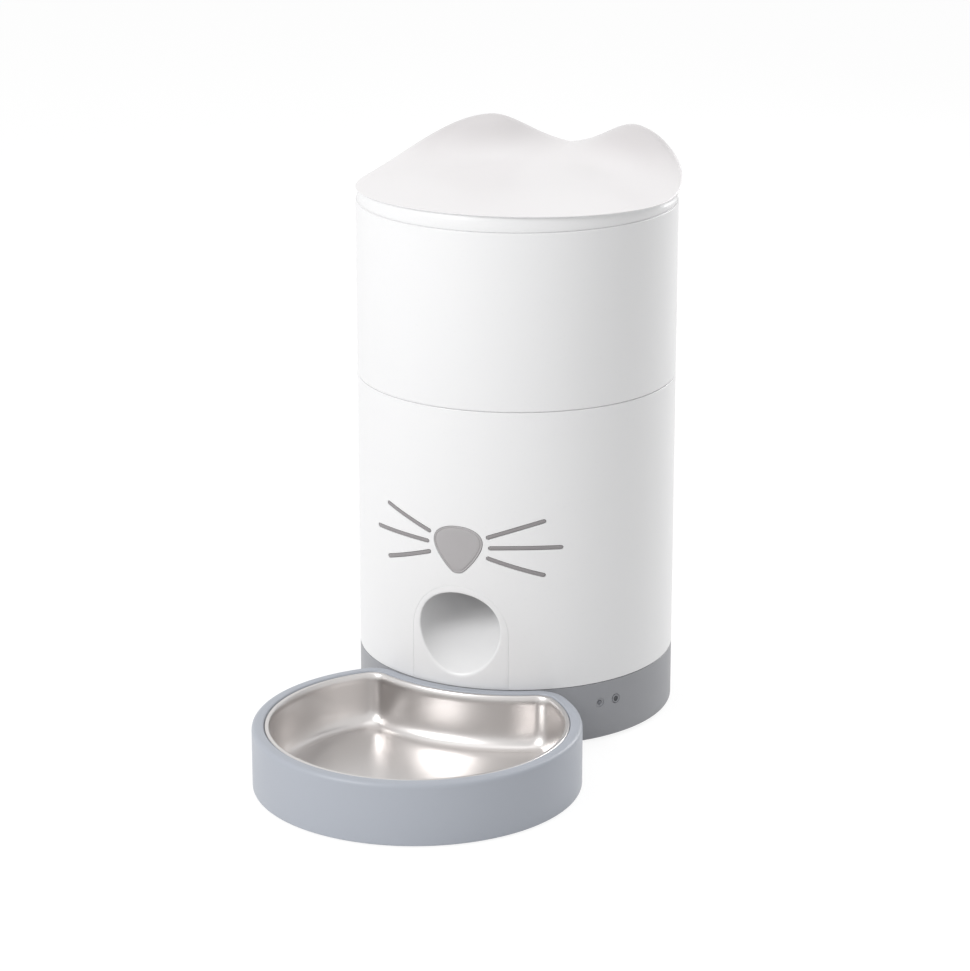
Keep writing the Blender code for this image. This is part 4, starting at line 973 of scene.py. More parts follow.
def true_round(piece: bpy.types.Object, radius: float) -> None:
    """Give a turned wall the normals of a true cylinder, whatever its cuts did to its faces.

    Args:
        piece: the piece.
        radius: the wall's outer radius, in millimetres.
    """
    mesh = piece.data
    normals = [Vector() for _ in mesh.loops]
    for face in mesh.polygons:
        out = face.center - AXIS
        out.z = 0
        if face.normal.dot(out.normalized()) < 0.97 or abs(out.length - radius * MM) > 0.4 * MM:
            continue
        for index in face.loop_indices:
            point = mesh.vertices[mesh.loops[index].vertex_index].co - AXIS
            normals[index] = Vector((point.x, point.y, 0)).normalized()
    mesh.normals_split_custom_set(normals)


@dataclass
class Fits:
    """Sizes that several sub-assemblies share, in millimetres."""

    radius: float = 95.0
    wall: float = 2.5
    gap: float = 0.3
    base_low: float = 1.5
    base_top: float = 36.5
    lower_low: float = 36.8
    lower_top: float = 205.7
    hopper_low: float = 206.3
    hopper_top: float = 310.3
    lid_low: float = 310.7
    deck_low: float = 118.0
    deck_top: float = 121.0
    edge: float = 0.55

    @property
    def inside(self) -> float:
        """The inner radius of the tower's walls."""
        return self.radius - self.wall

    @property
    def spigot(self) -> float:
        """The outer radius of what fits into a wall."""
        return self.inside - self.gap


@dataclass
class Assembly:
    """What every sub-assembly is given."""

    fits: Fits

    def build(self) -> None:
        """Build and dress its pieces."""
        raise NotImplementedError


# --- face ---


@dataclass
class Face(Assembly):
    """The nose and six whiskers, thin inlays that follow the wall."""

    depth: float = 0.9
    pocket: float = 1.2
    proud: float = 0.15
    margin: float = 0.3
    groove: float = 0.7
    nose_half: float = 15.0
    nose_low: float = 107.1
    nose_height: float = 28.4
    nose_shares: Flats = (
        (0, 1), (0.3, 0.99), (0.55, 0.955), (0.76, 0.9), (0.92, 0.815), (1, 0.7),
        (0.97, 0.57), (0.86, 0.44), (0.69, 0.3), (0.48, 0.165), (0.27, 0.055), (0.12, 0.01),
    )
    straight: float = 0.12
    crown: Flats = ((0.06, 0.45), (0.2, 0.85), (0.45, 1.0))
    groove_section: Flats = (
        (0.0, 0.0), (0.12, 0.04), (0.2, 0.25), (0.4, 0.32), (0.6, 0.25), (0.68, 0.04), (0.8, 0.0),
    )
    inner_shares: tuple[float, ...] = (0.15, 0.35, 0.6, 0.85)
    bow_steps: int = 20
    tip_steps: int = 8
    whisker_half: float = 1.0
    whiskers: tuple[tuple[str, Flat, Flat, float], ...] = (
        ("upper", (18.3, 130.4), (48.4, 140.5), -0.2),
        ("middle", (19.6, 124.0), (56.9, 124.1), -0.5),
        ("lower", (18.4, 117.7), (48.3, 107.8), 0.0),
    )

    def nose(self) -> list[Flat]:
        """The nose's outline, counter-clockwise seen from the front."""
        right = [(x * self.nose_half, self.nose_low + z * self.nose_height) for x, z in self.nose_shares]
        left = [(-x, z) for x, z in reversed(right[1:])]
        return flowing((right + left)[::-1])

    def whisker(self, inner: Flat, outer: Flat, sag: float, side: Side) -> list[Flat]:
        """One whisker's outline, bowed and round at both ends.

        Args:
            inner: its end beside the nose.
            outer: its far end.
            sag: how far its middle sags.
            side: which side it is on.

        Returns:
            The outline, counter-clockwise seen from the front.
        """
        start, end = Vector(inner), Vector(outer)
        along = (end - start).normalized()
        across = Vector((-along.y, along.x)) * self.whisker_half
        ahead = along * self.whisker_half
        steps, turns = self.bow_steps, self.tip_steps
        middles = [start.lerp(end, i / steps) - across.normalized() * (4 * sag * i / steps * (1 - i / steps))
                   for i in range(steps + 1)]
        arcs = [math.pi * (i + 1) / (turns + 1) for i in range(turns)]
        points = [point - across for point in middles]
        points += [middles[-1] - across * math.cos(a) + ahead * math.sin(a) for a in arcs]
        points += [point + across for point in reversed(middles)]
        points += [middles[0] + across * math.cos(a) - ahead * math.sin(a) for a in arcs]
        flat = [(side.value * p.x, p.y) for p in points]
        return flat if side is Side.RIGHT else flat[::-1]

    def outlines(self) -> dict[str, list[Flat]]:
        """Every inlay's outline by the name of its CAD node."""
        found = {"nose_inlay": self.nose()}
        for place, inner, outer, sag in self.whiskers:
            for side in Side:
                found[f"whisker_{place}_{side.name.lower()}"] = self.whisker(inner, outer, sag, side)
        return found

    def slab(self, outline: Sequence[Flat], levels: Sequence[Flat]) -> Shape:
        """A thin slab that follows the wall.

        Args:
            outline: seen from the front.
            levels: (inset, radius) of each ring from its back to its front.

        Returns:
            The shape.
        """
        count = len(outline)
        middle = Vector((sum(x for x, _ in outline) / count, sum(z for _, z in outline) / count))

        def ring(inset: float, radius: float, share: float = 1.0) -> list[Vector]:
            """One ring of the outline, moved in and then drawn together."""
            drawn = [middle.lerp(Vector(point), share) for point in grown(outline, -inset)]
            return [on_wall(p.x, p.y, radius) for p in drawn]

        (back_inset, back), (front_inset, front) = levels[0], levels[-1]
        rings = [ring(back_inset, back, share) for share in self.inner_shares]
        rings += [ring(inset, radius) for inset, radius in levels]
        rings += [ring(front_inset, front, share) for share in reversed(self.inner_shares)]
        return Shape().solid(rings, [on_wall(middle.x, middle.y, radius) for radius in (back, front)])

    def pockets(self) -> list[Shape]:
        """What the inlays' pockets take out of the wall."""
        radius = self.fits.radius
        levels = ((-self.margin, radius - self.pocket), (-self.margin, radius + 3))
        return [self.slab(outline, levels) for outline in self.outlines().values()]

    def build(self) -> None:
        """Build and dress the inlays."""
        radius, front = self.fits.radius, self.fits.radius + self.proud
        levels = ((0.0, radius - self.depth), (0.0, radius - self.straight))
        levels += tuple((inset, radius + self.proud * share) for inset, share in self.crown)
        groove = tuple((self.groove + inset, front - drop) for inset, drop in self.groove_section)
        for name, outline in self.outlines().items():
            nose = name == "nose_inlay"
            made = self.slab(outline, levels + groove if nose else levels)
            made.settle(name, NOSE if nose else WHISKER, Body.TOWER, sharp=50)


# --- mouth ---


@dataclass
class Mouth(Assembly):
    """The arched panel with the round food outlet and the spout behind it."""

    arch: float = 30.0
    radius: float = 25.0
    height: float = 69.0
    slope: float = 40.0
    spout_wall: float = 2.0
    spout_top: float = 114.5
    outlet: float = 54.0
    rim: float = 1.7
    seam: float = 0.06
    edge: float = 0.16
    past: float = 3.0
    cut_back: float = 70.0
    wall_margin: float = 0.4
    spout_start: float = 4.0
    way_steps: int = 5
    bend_steps: int = 12
    rim_steps: int = 8
    face_shares: tuple[float, ...] = (0.2, 0.4, 0.6, 0.8)
    arch_steps: int = 96
    side_steps: int = 20
    foot_steps: int = 40

    def directions(self) -> list[float]:
        """Angles about the outlet's middle, with one at each corner of the panel."""
        corner = math.atan2(self.height - self.fits.lower_low, self.arch)
        spans = (
            (0.0, math.pi, self.arch_steps),
            (math.pi, math.pi + corner, self.side_steps),
            (math.pi + corner, TURN - corner, self.foot_steps),
            (TURN - corner, TURN, self.side_steps),
        )
        return [start + (end - start) * i / steps for start, end, steps in spans for i in range(steps)]

    def frame_point(self, t: float, margin: float = 0.0) -> Flat:
        """Where a direction from the outlet's middle meets the panel's outline.

        Args:
            t: the direction.
            margin: how much larger the outline is.

        Returns:
            The point's x and z.
        """
        side, foot = self.arch + margin, self.height - self.fits.lower_low + margin
        if t <= math.pi:
            reach = side
        else:
            reach = min(side / max(1e-6, abs(math.cos(t))), foot / max(1e-6, -math.sin(t)))
        return reach * math.cos(t), self.height + reach * math.sin(t)

    def mouth_point(self, t: float, grow: float, radius: float, inwards: float = 0.0) -> Vector:
        """A point where the slanting spout meets the wall.

        Args:
            t: its direction about the spout.
            grow: how much wider the spout is there.
            radius: the wall's radius.
            inwards: how far further up the spout it lies.

        Returns:
            The point.
        """
        slope = self.slope * DEGREE
        x = (self.radius + grow) * math.cos(t)
        y = -math.sqrt(radius * radius - x * x)
        centre = self.height + (y + self.fits.radius) * math.tan(slope)
        z = centre + (self.radius + grow / math.cos(slope)) * math.sin(t)
        return Vector((x, y + inwards * math.cos(slope), z + inwards * math.sin(slope)))

    def spout_ring(self, y: float, z: float, slope: float, grow: float) -> list[Vector]:
        """A ring of the spout, square to its way.

        Args:
            y: its middle.
            z: its middle.
            slope: how steep the way is there.
            grow: how much wider the ring is.

        Returns:
            Its points.
        """
        width = self.radius + grow
        depth = self.radius * math.cos(self.slope * DEGREE) + grow
        return [
            Vector((width * math.cos(t), y - depth * math.sin(t) * math.sin(slope),
                    z + depth * math.sin(t) * math.cos(slope)))
            for t in self.directions()
        ]

    def spout_rings(self, grow: float) -> list[list[Vector]]:
        """The rings of the spout from near the mouth to its top.

        Args:
            grow: how much wider they are than the food's way.

        Returns:
            The rings.
        """
        slope = self.slope * DEGREE
        sine, cosine = math.sin(slope), math.cos(slope)
        drop, run = self.spout_top - self.height, self.fits.radius - self.outlet
        straight = (run * cosine - drop * (1 - sine)) / (cosine * cosine - sine * (1 - sine))
        bend = (drop - straight * sine) / cosine
        start = self.radius * sine + self.spout_start
        rings = []
        for i in range(self.way_steps):
            reach = start + (straight - start) * i / self.way_steps
            y, z = -self.fits.radius + reach * cosine, self.height + reach * sine
            rings.append(self.spout_ring(y, z, slope, grow))
        for i in range(self.bend_steps + 1):
            turn = (math.pi / 2 - slope) * (1 - i / self.bend_steps)
            y, z = -self.outlet - bend * (1 - math.cos(turn)), self.spout_top - bend * math.sin(turn)
            rings.append(self.spout_ring(y, z, math.pi / 2 - turn, grow))
        return rings

    def opening(self) -> Shape:
        """What the panel's opening takes out of the wall."""
        outline = [self.frame_point(t, self.seam) for t in self.directions()]
        foot = self.fits.lower_low - self.past
        outline = [(x, z if z > self.fits.lower_low + 0.01 else foot) for x, z in outline]
        depths = (-self.fits.radius - 2 * self.past, -self.cut_back)
        return Shape().solid([[Vector((x, y, z)) for x, z in outline] for y in depths])

    def build(self) -> None:
        """Build and dress the panel."""
        fits, way, edge = self.fits, self.directions(), self.edge
        rings = [
            [on_wall(*self.frame_point(t, margin), radius) for t in way]
            for margin, radius in ((0.0, fits.inside), (0.0, fits.radius - edge),
                                   (-edge * 0.25, fits.radius - edge * 0.25), (-edge, fits.radius))
        ]
        rim_start = [self.mouth_point(t, self.rim, fits.radius) for t in way]
        corner = [self.mouth_point(t, 0, fits.radius) for t in way]
        rim_end = [self.mouth_point(t, 0, fits.radius, self.rim * 1.1) for t in way]
        for share in self.face_shares:
            row = []
            for outer, inner in zip(rings[3], rim_start):
                x, z = (outer[k] + (inner[k] - outer[k]) * share for k in (0, 2))
                row.append(on_wall(x, z, fits.radius))
            rings.append(row)
        for i in range(self.rim_steps + 1):
            u = i / self.rim_steps
            rings.append([
                a * (1 - u) ** 2 + b * (2 * u * (1 - u)) + c * u * u
                for a, b, c in zip(rim_start, corner, rim_end)
            ])
        inner, outer = self.spout_rings(0), self.spout_rings(self.spout_wall)
        rings += inner + outer[::-1]
        back = []
        for t in way:
            point = self.mouth_point(t, self.spout_wall, fits.inside)
            limit = Vector(self.frame_point(t, -self.wall_margin))
            middle = Vector((0, self.height))
            out, most = Vector((point.x, point.z)) - middle, (limit - middle).length
            if out.length > most:
                out = out.normalized() * most
            back.append(on_wall(out.x, self.height + out.y, fits.inside))
        rings.append(back)
        shape = Shape()
        shape.loft(rings, loop=True)
        shape.settle("mouth_panel", WHITE, Body.TOWER, sharp=48)


# --- tower walls ---


@dataclass
class Walls(Assembly):
    """The lower shell and the hopper shell, one above the other."""

    face: Face
    mouth: Mouth
    ledge_low: float = 115.7
    ledge_top: float = 117.7
    ledge_width: float = 6.5
    spigot_wall: float = 2.3
    spigot_height: float = 8.3
    hopper_ledge: float = 2.5
    lip_depth: float = 0.75
    lid_lip_depth: float = 0.85
    lip_gap: float = 0.08
    pilot: float = 1.7
    boss_radius: float = 4.6
    boss_place: float = 88.9
    boss_low: float = 42.3
    boss_height: float = 17.0
    boss_angles: tuple[float, ...] = (80, 150, 210, 280)
    deck_boss_radius: float = 4.0
    deck_boss_height: float = 10.0
    deck_boss_place: float = 89.0
    deck_boss_angles: tuple[float, ...] = (30, 150, 270)

    def boss(self, radius: float, low: float, height: float) -> Shape:
        """One screw boss with its pilot hole."""
        return Shape().lathe((
            (0, low + 2), (self.pilot, low + 2), (self.pilot, low), (radius, low, 0.4), (radius, low + height),
            (0, low + height),
        ), 32)

    def build(self) -> None:
        """Build and dress both walls."""
        fits = self.fits
        lower = Shape().lathe((
            (fits.radius, fits.lower_top, fits.edge),
            (fits.radius, fits.lower_low, 0.4),
            (fits.inside, fits.lower_low, 0.3),
            (fits.inside, self.ledge_low - self.ledge_width, 1.0),
            (fits.inside - self.ledge_width, self.ledge_low, 0.5),
            (fits.inside - self.ledge_width, self.ledge_top, 0.3),
            (fits.inside, self.ledge_top),
            (fits.inside, fits.lower_top, 0.3),
        ))
        lower.carve(self.mouth.opening(), *self.face.pockets())
        lower.join(
            self.boss(self.boss_radius, self.boss_low, self.boss_height).seated(
                places(self.boss_angles, self.boss_place), WHITE),
            self.boss(self.deck_boss_radius, self.ledge_top - 1 - self.deck_boss_height,
                      self.deck_boss_height).seated(
                places(self.deck_boss_angles, self.deck_boss_place), WHITE),
        )
        true_round(lower.settle("lower_shell", WHITE, Body.TOWER), fits.radius)
        ledge = fits.hopper_low + self.hopper_ledge
        spigot_low, spigot_in = fits.hopper_low - self.spigot_height, fits.spigot - self.spigot_wall
        Shape().lathe((
            (fits.radius, fits.hopper_top, fits.edge),
            (fits.radius, fits.hopper_low, fits.edge),
            (fits.radius - self.lip_depth, fits.hopper_low, 0.1),
            (fits.radius - self.lip_depth, fits.lower_top + self.lip_gap, 0.1),
            (fits.spigot, fits.lower_top + self.lip_gap),
            (fits.spigot, spigot_low, 0.6),
            (spigot_in, spigot_low, 0.6),
            (spigot_in, ledge, 0.3),
            (fits.inside, ledge),
            (fits.inside, fits.lid_low - self.lip_gap, 0.2),
            (fits.radius - self.lid_lip_depth, fits.lid_low - self.lip_gap, 0.1),
            (fits.radius - self.lid_lip_depth, fits.hopper_top, 0.1),
        )).settle("hopper_shell", WHITE, Body.HOPPER)


# --- lid ---


@dataclass
class Lid(Assembly):
    """The eared lid, with its liner, seal, drying pack and cap."""

    skirt_step: float = 0.8
    skirt_wall: float = 1.9
    wall: float = 2.2
    crease_front: float = 9.6
    crease_back: float = 1.3
    front_rise: float = 10.3
    middle_rise: float = 8.6
    side_rise: float = 6.8
    back_rise: float = 17.5
    ear_height: float = 23.0
    ear_angle: float = 148.0
    ear_spreads: Flat = (31.0, 20.0)
    ear_start_share: float = 0.55
    bulge: float = 6.2
    bulge_angle: float = 120.0
    bulge_spread: float = 24.0
    bulge_power: float = 0.8
    round_front: float = 5.2
    round_back: float = 7.9
    rim_rows: int = 46
    middle_rows: int = 12
    liner_low: float = 311.0
    plug_radius: float = 90.5
    plug_depth: float = 10.9
    cup_radius: float = 30.0
    cup_depth: float = 20.0
    cup_wall: float = 2.0
    ribs: int = 8
    seal_height: float = 3.5
    seal_lips: int = 3
    cap_drop: float = 2.3
    cap_height: float = 10.0
    cap_slots: int = 6
    knurls: int = 60
    underside: tuple[Size, ...] = (
        (-0.05, 6.5, 0.7), (-0.5, 2.4, 0.5), (-1.15, 1.1, 0.35), (-1.15, 0.7, 0.25), (0.3, 0.38, 0.15),
        (0.65, 0.2, 0.08),
    )

    def crease(self, angle: float) -> float:
        """The height of the crease between skirt and top."""
        middle, swing = (self.crease_front + self.crease_back) / 2, (self.crease_front - self.crease_back) / 2
        return self.fits.lid_low + middle + swing * math.cos(angle)

    def top_point(self, angle: float, share: float) -> Vector:
        """A point of the lid's top.

        Args:
            angle: from the front, in radians.
            share: of the radius.

        Returns:
            The point.
        """
        full = self.fits.radius
        back = (1 - math.cos(angle)) / 2
        power = self.round_front + (self.round_back - self.round_front) * back
        rise = max(0.0, 1 - share ** power) ** (1 / power)
        off = abs(math.degrees(math.atan2(math.sin(angle), math.cos(angle))))
        tilt = 2 * math.asin(min(1.0, rise ** (power / 2)))
        bulge = math.exp(-(((off - self.bulge_angle) / self.bulge_spread) ** 2))
        radius = full * share + self.bulge * bulge * max(0.0, math.sin(tilt)) ** self.bulge_power
        x, y = math.sin(angle) * radius / full, -math.cos(angle) * radius / full
        end_rise = self.front_rise if y < 0 else self.back_rise
        top = (self.fits.lid_low + self.middle_rise * (1 - x * x - y * y)
               + self.side_rise * x * x + end_rise * y * y)
        spread = self.ear_spreads[0 if off < self.ear_angle else 1]
        ear = math.exp(-(((off - self.ear_angle) / spread) ** 2))
        start = self.ear_start_share
        top += self.ear_height * ear * smooth_step((radius / full - start) / (1 - start))
        crease = self.crease(angle)
        return Vector((math.sin(angle) * radius, -math.cos(angle) * radius, crease + (top - crease) * rise))

    def shell(self) -> Shape:
        """The lid's shell, closed all round."""
        angles = [TURN * i / SEGMENTS for i in range(SEGMENTS)]
        low = self.fits.lid_low
        skirt, inside = self.fits.radius - self.skirt_step, self.fits.radius - self.skirt_step - self.skirt_wall

        def level(radius: float, height: Callable[[float], float]) -> list[Vector]:
            """A ring of one radius, with a height for each angle."""
            return [Vector((math.sin(a) * radius, -math.cos(a) * radius, height(a))) for a in angles]

        shares = [math.sin(math.pi / 2 * (1 - i / self.rim_rows)) ** (2 / 6.5) for i in range(1, self.rim_rows)]
        shares += [shares[-1] * (1 - i / self.middle_rows) for i in range(1, self.middle_rows)]
        inner_shares = [share for share in shares[6::3] if share < 0.97]
        ratio = inside / self.fits.radius
        rings = [
            level(skirt - 0.35, lambda a: low),
            level(skirt - 0.1, lambda a: low + 0.1),
            level(skirt, lambda a: low + 0.35),
        ]
        rings += [
            level(skirt + out, lambda a: self.crease(a) - min(drop, share * (self.crease(a) - low - 0.35)))
            for out, drop, share in self.underside
        ]
        rings += [[self.top_point(a, share) for a in angles] for share in shares]
        shape = Shape()
        rows = shape.loft(rings)
        shape.fan(rows[-1], self.top_point(0, 0))
        inner = [level(inside, lambda a: low), level(inside, lambda a: self.crease(a) - self.wall / 2)]
        for share in inner_shares:
            points = [self.top_point(a, share) for a in angles]
            inner.append([Vector((p.x * ratio, p.y * ratio, p.z - self.wall)) for p in points])
        inner_rows = shape.loft(inner)
        shape.fan(inner_rows[-1], self.top_point(0, 0) - Vector((0, 0, self.wall)))
        for i in range(SEGMENTS):
            j = (i + 1) % SEGMENTS
            shape.bm.faces.new((rows[0][i], rows[0][j], inner_rows[0][j], inner_rows[0][i]))
        return shape

    def build(self) -> None:
        """Build and dress the lid and what it carries."""
        fits, low = self.fits, self.liner_low
        # The lid's finish carries a painted shade on its ears.
        lid = self.shell().settle("lid_shell", LID_WHITE_WITH_PAINTED_SHADE, Body.LID, sharp=48)
        lid.data.materials.append(WHITE.material())
        for polygon in lid.data.polygons:
            place = (polygon.center - AXIS) / MM
            crease = self.crease(math.atan2(place.x, -place.y))
            polygon.material_index = int(place.z < crease and Vector(place[:2]).length > fits.inside)
        plug, plug_low, cup, cup_low = self.plug_radius, low - self.plug_depth, self.cup_radius, low - self.cup_depth
        disc, cup_in = fits.inside - self.skirt_step, cup - self.cup_wall
        liner = Shape().lathe((
            (0, low + 1.5), (disc, low + 1.5, 0.4), (disc, low, 0.4), (plug, low, 0.3),
            (plug, plug_low + 2.6), (plug + 1, plug_low + 2.6, 0.3), (plug + 1, plug_low, 0.6),
            (plug - 2, plug_low, 0.5), (plug - 2, low, 0.8), (cup, low, 0.8), (cup, cup_low, 0.6),
            (cup_in, cup_low, 0.4), (cup_in, low), (0, low),
        ))
        rib = Shape().block((1.4, 46, 6), Vector((0, 0, low - 6)), 0.6)
        liner.join(rib.repeated(WHEEL, PALE, Count=self.ribs, Radius=(plug + cup) / 2 - 2, Start=math.pi / self.ribs))
        liner.settle("lid_liner", PALE, Body.LID)
        seal_low, seal_in, seal_out = plug_low + 2.9, plug + fits.gap, fits.inside - fits.gap
        lips = [(seal_in, seal_low, 0.2)]
        for i in range(self.seal_lips):
            z = seal_low + self.seal_height * i / self.seal_lips
            lips += [(seal_out - 0.7, z + 0.1, 0.1), (seal_out, z + 0.55, 0.25), (seal_out - 0.7, z + 1.05, 0.1)]
        lips.append((seal_in, seal_low + self.seal_height, 0.2))
        Shape().lathe(lips).settle("lid_seal", SEAL, Body.LID)
        pack_in, pack_low = cup_in - fits.gap, cup_low
        Shape().lathe((
            (0, pack_low + 0.4), (pack_in - 6, pack_low, 3), (pack_in, pack_low + 1.2, 1.4),
            (pack_in, pack_low + 11.8, 1.4), (pack_in - 6, pack_low + 13, 3), (0, pack_low + 12.7),
        ), 96).settle("desiccant_pack", PACK, Body.LID)
        cap_low, cap_in = cup_low - self.cap_drop, cup + fits.gap
        cap_top = cap_low + self.cap_height
        cap = Shape().lathe((
            (0, cap_low), (cap_in + 2, cap_low, 1.0), (cap_in + 2, cap_top, 0.5), (cap_in, cap_top, 0.4),
            (cap_in, cap_low + 2, 0.4), (0, cap_low + 2),
        ), 120)
        slot = Shape().block((3.2, 13, 8), Vector((0, 0, cap_low - 3)), 1.5, 0.1)
        cap.carve(slot.repeated(WHEEL, PALE, Count=self.cap_slots, Radius=cup / 2 + 0.5, Start=0.0))
        grip = Shape().block((34, 4, 6), Vector((0, 0, cap_low - 5)), 1.9, 0.7)
        knurl = Shape().block((0.9, 0.7, 7), Vector((0, 0, cap_low + 1.5)), 0.3, 0.2)
        knurl.repeated(WHEEL, PALE, Count=self.knurls, Radius=cap_in + 2, Start=0.0)
        cap.join(grip, knurl).settle("desiccant_cap", PALE, Body.CAP)


# --- base ---


@dataclass
class Base(Assembly):
    """The grey base with its feet, screws, controls, inlet and battery door."""

    floor: float = 4.0
    spigot_top: float = 42.0
    spigot_wall: float = 2.3
    foot_radius: float = 8.0
    foot_place: float = 74.0
    foot_angles: tuple[float, ...] = (38, 142, 218, 322)
    screw_place: float = 86.6
    screw_angles: tuple[float, ...] = (80, 150, 210, 280)
    control_height: float = 24.0
    light_angle: float = 52.6
    button_angle: float = 59.7
    inlet_angle: float = 180.0
    inlet_height: float = 16.5
    bay_middle: Flat = (-33.0, 6.0)
    bay_size: Flat = (61.3, 55.0)
    slot_size: Flat = (41.0, 4.0)
    slot_height: float = 7.3
    hole: float = 3.4
    fit: float = 0.3
    post: Section = ((0, 3), (2.5, 3), (2.5, 12, 0.4), (0, 12))
    post_places: Flats = ((18, -19), (18, 31), (62, -19), (62, 31))
    tread: tuple[float, ...] = (0.15, 0.2, 0.32, 0.37, 0.49, 0.54, 0.66, 0.71)
    tread_depth: float = 0.35

    def shell(self) -> Shape:
        """The base's shell with its holes and recesses."""
        fits = self.fits
        spigot_in = fits.spigot - self.spigot_wall
        shell = Shape().lathe((
            (0, fits.base_low), (fits.radius, fits.base_low, 1.6), (fits.radius, fits.base_top, fits.edge),
            (fits.spigot, fits.base_top), (fits.spigot, self.spigot_top, 0.5), (spigot_in, self.spigot_top, 0.5),
            (spigot_in, fits.base_top), (fits.inside, fits.base_top - 3.5), (fits.inside, self.floor, 0.6),
            (0, self.floor),
        ))
        low = fits.base_low - 4
        tools = [
            Shape().rod(self.foot_radius + self.fit, low, 2.5, 64)
            .seated(places(self.foot_angles, self.foot_place), GREY),
            Shape().rod(self.hole, low, 20, 32)
            .seated(places(self.screw_angles, self.screw_place), GREY),
            Shape().block((*self.bay_size, 12), Vector((*self.bay_middle, low)), 2.0, 0.05),
            Shape().block((self.slot_size[0], 20, self.slot_size[1]), Vector((0, -92, self.slot_height)), 0.2, 0.05),
            self.bore(2.8).outwards(self.button_angle, self.control_height),
            self.bore(1.5, 3.0, 0.5).outwards(self.light_angle, self.control_height),
            self.bore(5.9).outwards(self.inlet_angle, self.inlet_height),
        ]
        shell.carve(*tools)
        shelf, top = self.spigot_top - 3, self.spigot_top
        tower = Shape().lathe((
            (self.hole, fits.base_low + 1.2), (self.hole, shelf), (1.8, shelf), (1.8, top, 0.2), (5, top, 0.5),
            (5, self.floor - 0.5),
        ), 32)
        post = Shape().lathe(self.post, 24)
        return shell.join(
            tower.seated(places(self.screw_angles, self.screw_place), GREY),
            post.seated([Vector((*place, 0)) for place in self.post_places], GREY),
        )

    def bore(self, radius: float, recess: float = 0.0, depth: float = 0.0) -> Shape:
        """A cutter for a round hole in the wall, drawn up the axis.

        Args:
            radius: the hole's radius.
            recess: the radius of the shallow recess round it.
            depth: the recess's depth.

        Returns:
            The cutter.
        """
        inner, outer, face = self.fits.inside - 6, self.fits.radius + 6, self.fits.radius - (depth or 0.35)
        wide = recess or radius + 0.5
        flare = (recess, face) if recess else (wide, face + 0.5)
        return Shape().lathe(((0, inner), (radius, inner), (radius, face), flare, (wide, outer), (0, outer)), 48)

    def screw(self, length: float) -> Shape:
        """A self-tapping screw with a cross in its head, point up, its head's underside at 0."""
        section = [(0, -1.8), (2.2, -1.8), (2.7, -1.3), (2.8, -0.4), (2.6, 0), (1.4, 0)]
        turns = int(length / 1.1)
        for i in range(turns):
            z = length * (i + 0.5) / turns
            section += [(1.05, z - 0.3), (1.4, z), (1.05, z + 0.2)]
        section += [(0.6, length + 0.2), (0, length + 0.9)]
        screw = Shape().lathe(section, 24)
        bars = [Shape().block(size, Vector((0, 0, -2.6)), 0.2, 0.1) for size in ((3.0, 0.7, 1.9), (0.7, 3.0, 1.9))]
        return screw.carve(*bars)

    def controls(self) -> None:
        """The indicator and the button."""
        radius = self.fits.radius
        lens = Shape().lathe((
            (0, 91.0), (2.6, 91.0, 0.2), (2.6, 92.2, 0.2), (1.25, 92.2), (1.25, radius - 0.3, 0.3), (0, radius - 0.15),
        ), 40)
        lens.outwards(self.light_angle, self.control_height).settle(
            "status_light", LENS, Body.TOWER)
        cap = Shape().lathe((
            (0, 90.2), (2.5, 90.2), (3.6, 91.0), (3.6, 92.2, 0.2), (2.5, 92.2), (2.5, radius, 0.35),
            (1.75, radius, 0.15), (1.65, radius - 0.3), (0, radius - 0.3),
        ), 48)
        cap.outwards(self.button_angle, self.control_height).settle("feed_button", BASE_GREY, Body.BUTTON)
        eye = Shape().lathe((
            (0, radius - 0.28), (1.6, radius - 0.28), (1.6, radius - 0.02, 0.15), (1.0, radius - 0.02, 0.3),
            (0.7, radius - 0.15, 0.2), (0, radius - 0.2),
        ), 40)
        eye.outwards(self.button_angle, self.control_height).settle("button_eye", DARK, Body.BUTTON)

    def inlet(self) -> None:
        """The power inlet at the back."""
        fits = self.fits
        front = fits.radius - 0.6
        barrel = Shape().lathe((
            (3.2, 86), (3.2, front, 0.5), (5.6, front, 0.5), (5.6, 84), (1.5, 84), (1.5, 86),
        ), 72)
        pin = Shape().lathe(((0, 84), (1.0, 84), (1.0, front - 1.5, 0.5), (0, front - 1.3)), 32)
        barrel.join(pin).outwards(self.inlet_angle, self.inlet_height)
        block = Shape().block((13, 11, 20.4), Vector((0, 86.4, 6.3)), 0.8, 0.5)
        block.carve(Shape().rod(5.0, 84.5, 99).outwards(self.inlet_angle, self.inlet_height))
        block.join(barrel).settle("power_inlet", DARK, Body.TOWER)

    def feet(self) -> None:
        """The four rubber feet, with a ribbed tread."""
        depth, radius = self.tread_depth, self.foot_radius
        tread = [(radius * share, 0.0 if i % 2 else depth, 0.1) for i, share in enumerate(self.tread)]
        feet = Shape().lathe((
            (0, depth), *tread, (radius * 0.84, 0.0), (radius, 0.0, 0.8), (radius, 2.2, 0.2), (0, 2.2),
        ), 64).seated(
            places(self.foot_angles, self.foot_place), RUBBER)
        feet.settle("base_feet", RUBBER, Body.TOWER, *(f"base_foot_{i}" for i in range(1, 5)))

    def build(self) -> None:
        """Build and dress the base."""
        shell = self.shell().settle("base_shell", BASE_GREY, Body.TOWER)
        true_round(shell, self.fits.radius)
        self.feet()
        self.controls()
        self.inlet()
        screws = self.screw(11.2).seated(
            places(self.screw_angles, self.screw_place, 38.7), PLATED)
        screws.settle("base_screws", PLATED, Body.TOWER, *(f"base_screw_{i}" for i in range(1, 5)))
        rib = Shape().block((10, 0.9, 0.8), Vector((self.bay_middle[0], 28.0, 2.4)), 0.4, 0.25)
        rib.repeated(ROW, BASE_GREY, Count=3, Step=(0.0, 1.8, 0.0))
        rib.settle("door_grip", BASE_GREY, Body.DOOR)


# --- bowl ---


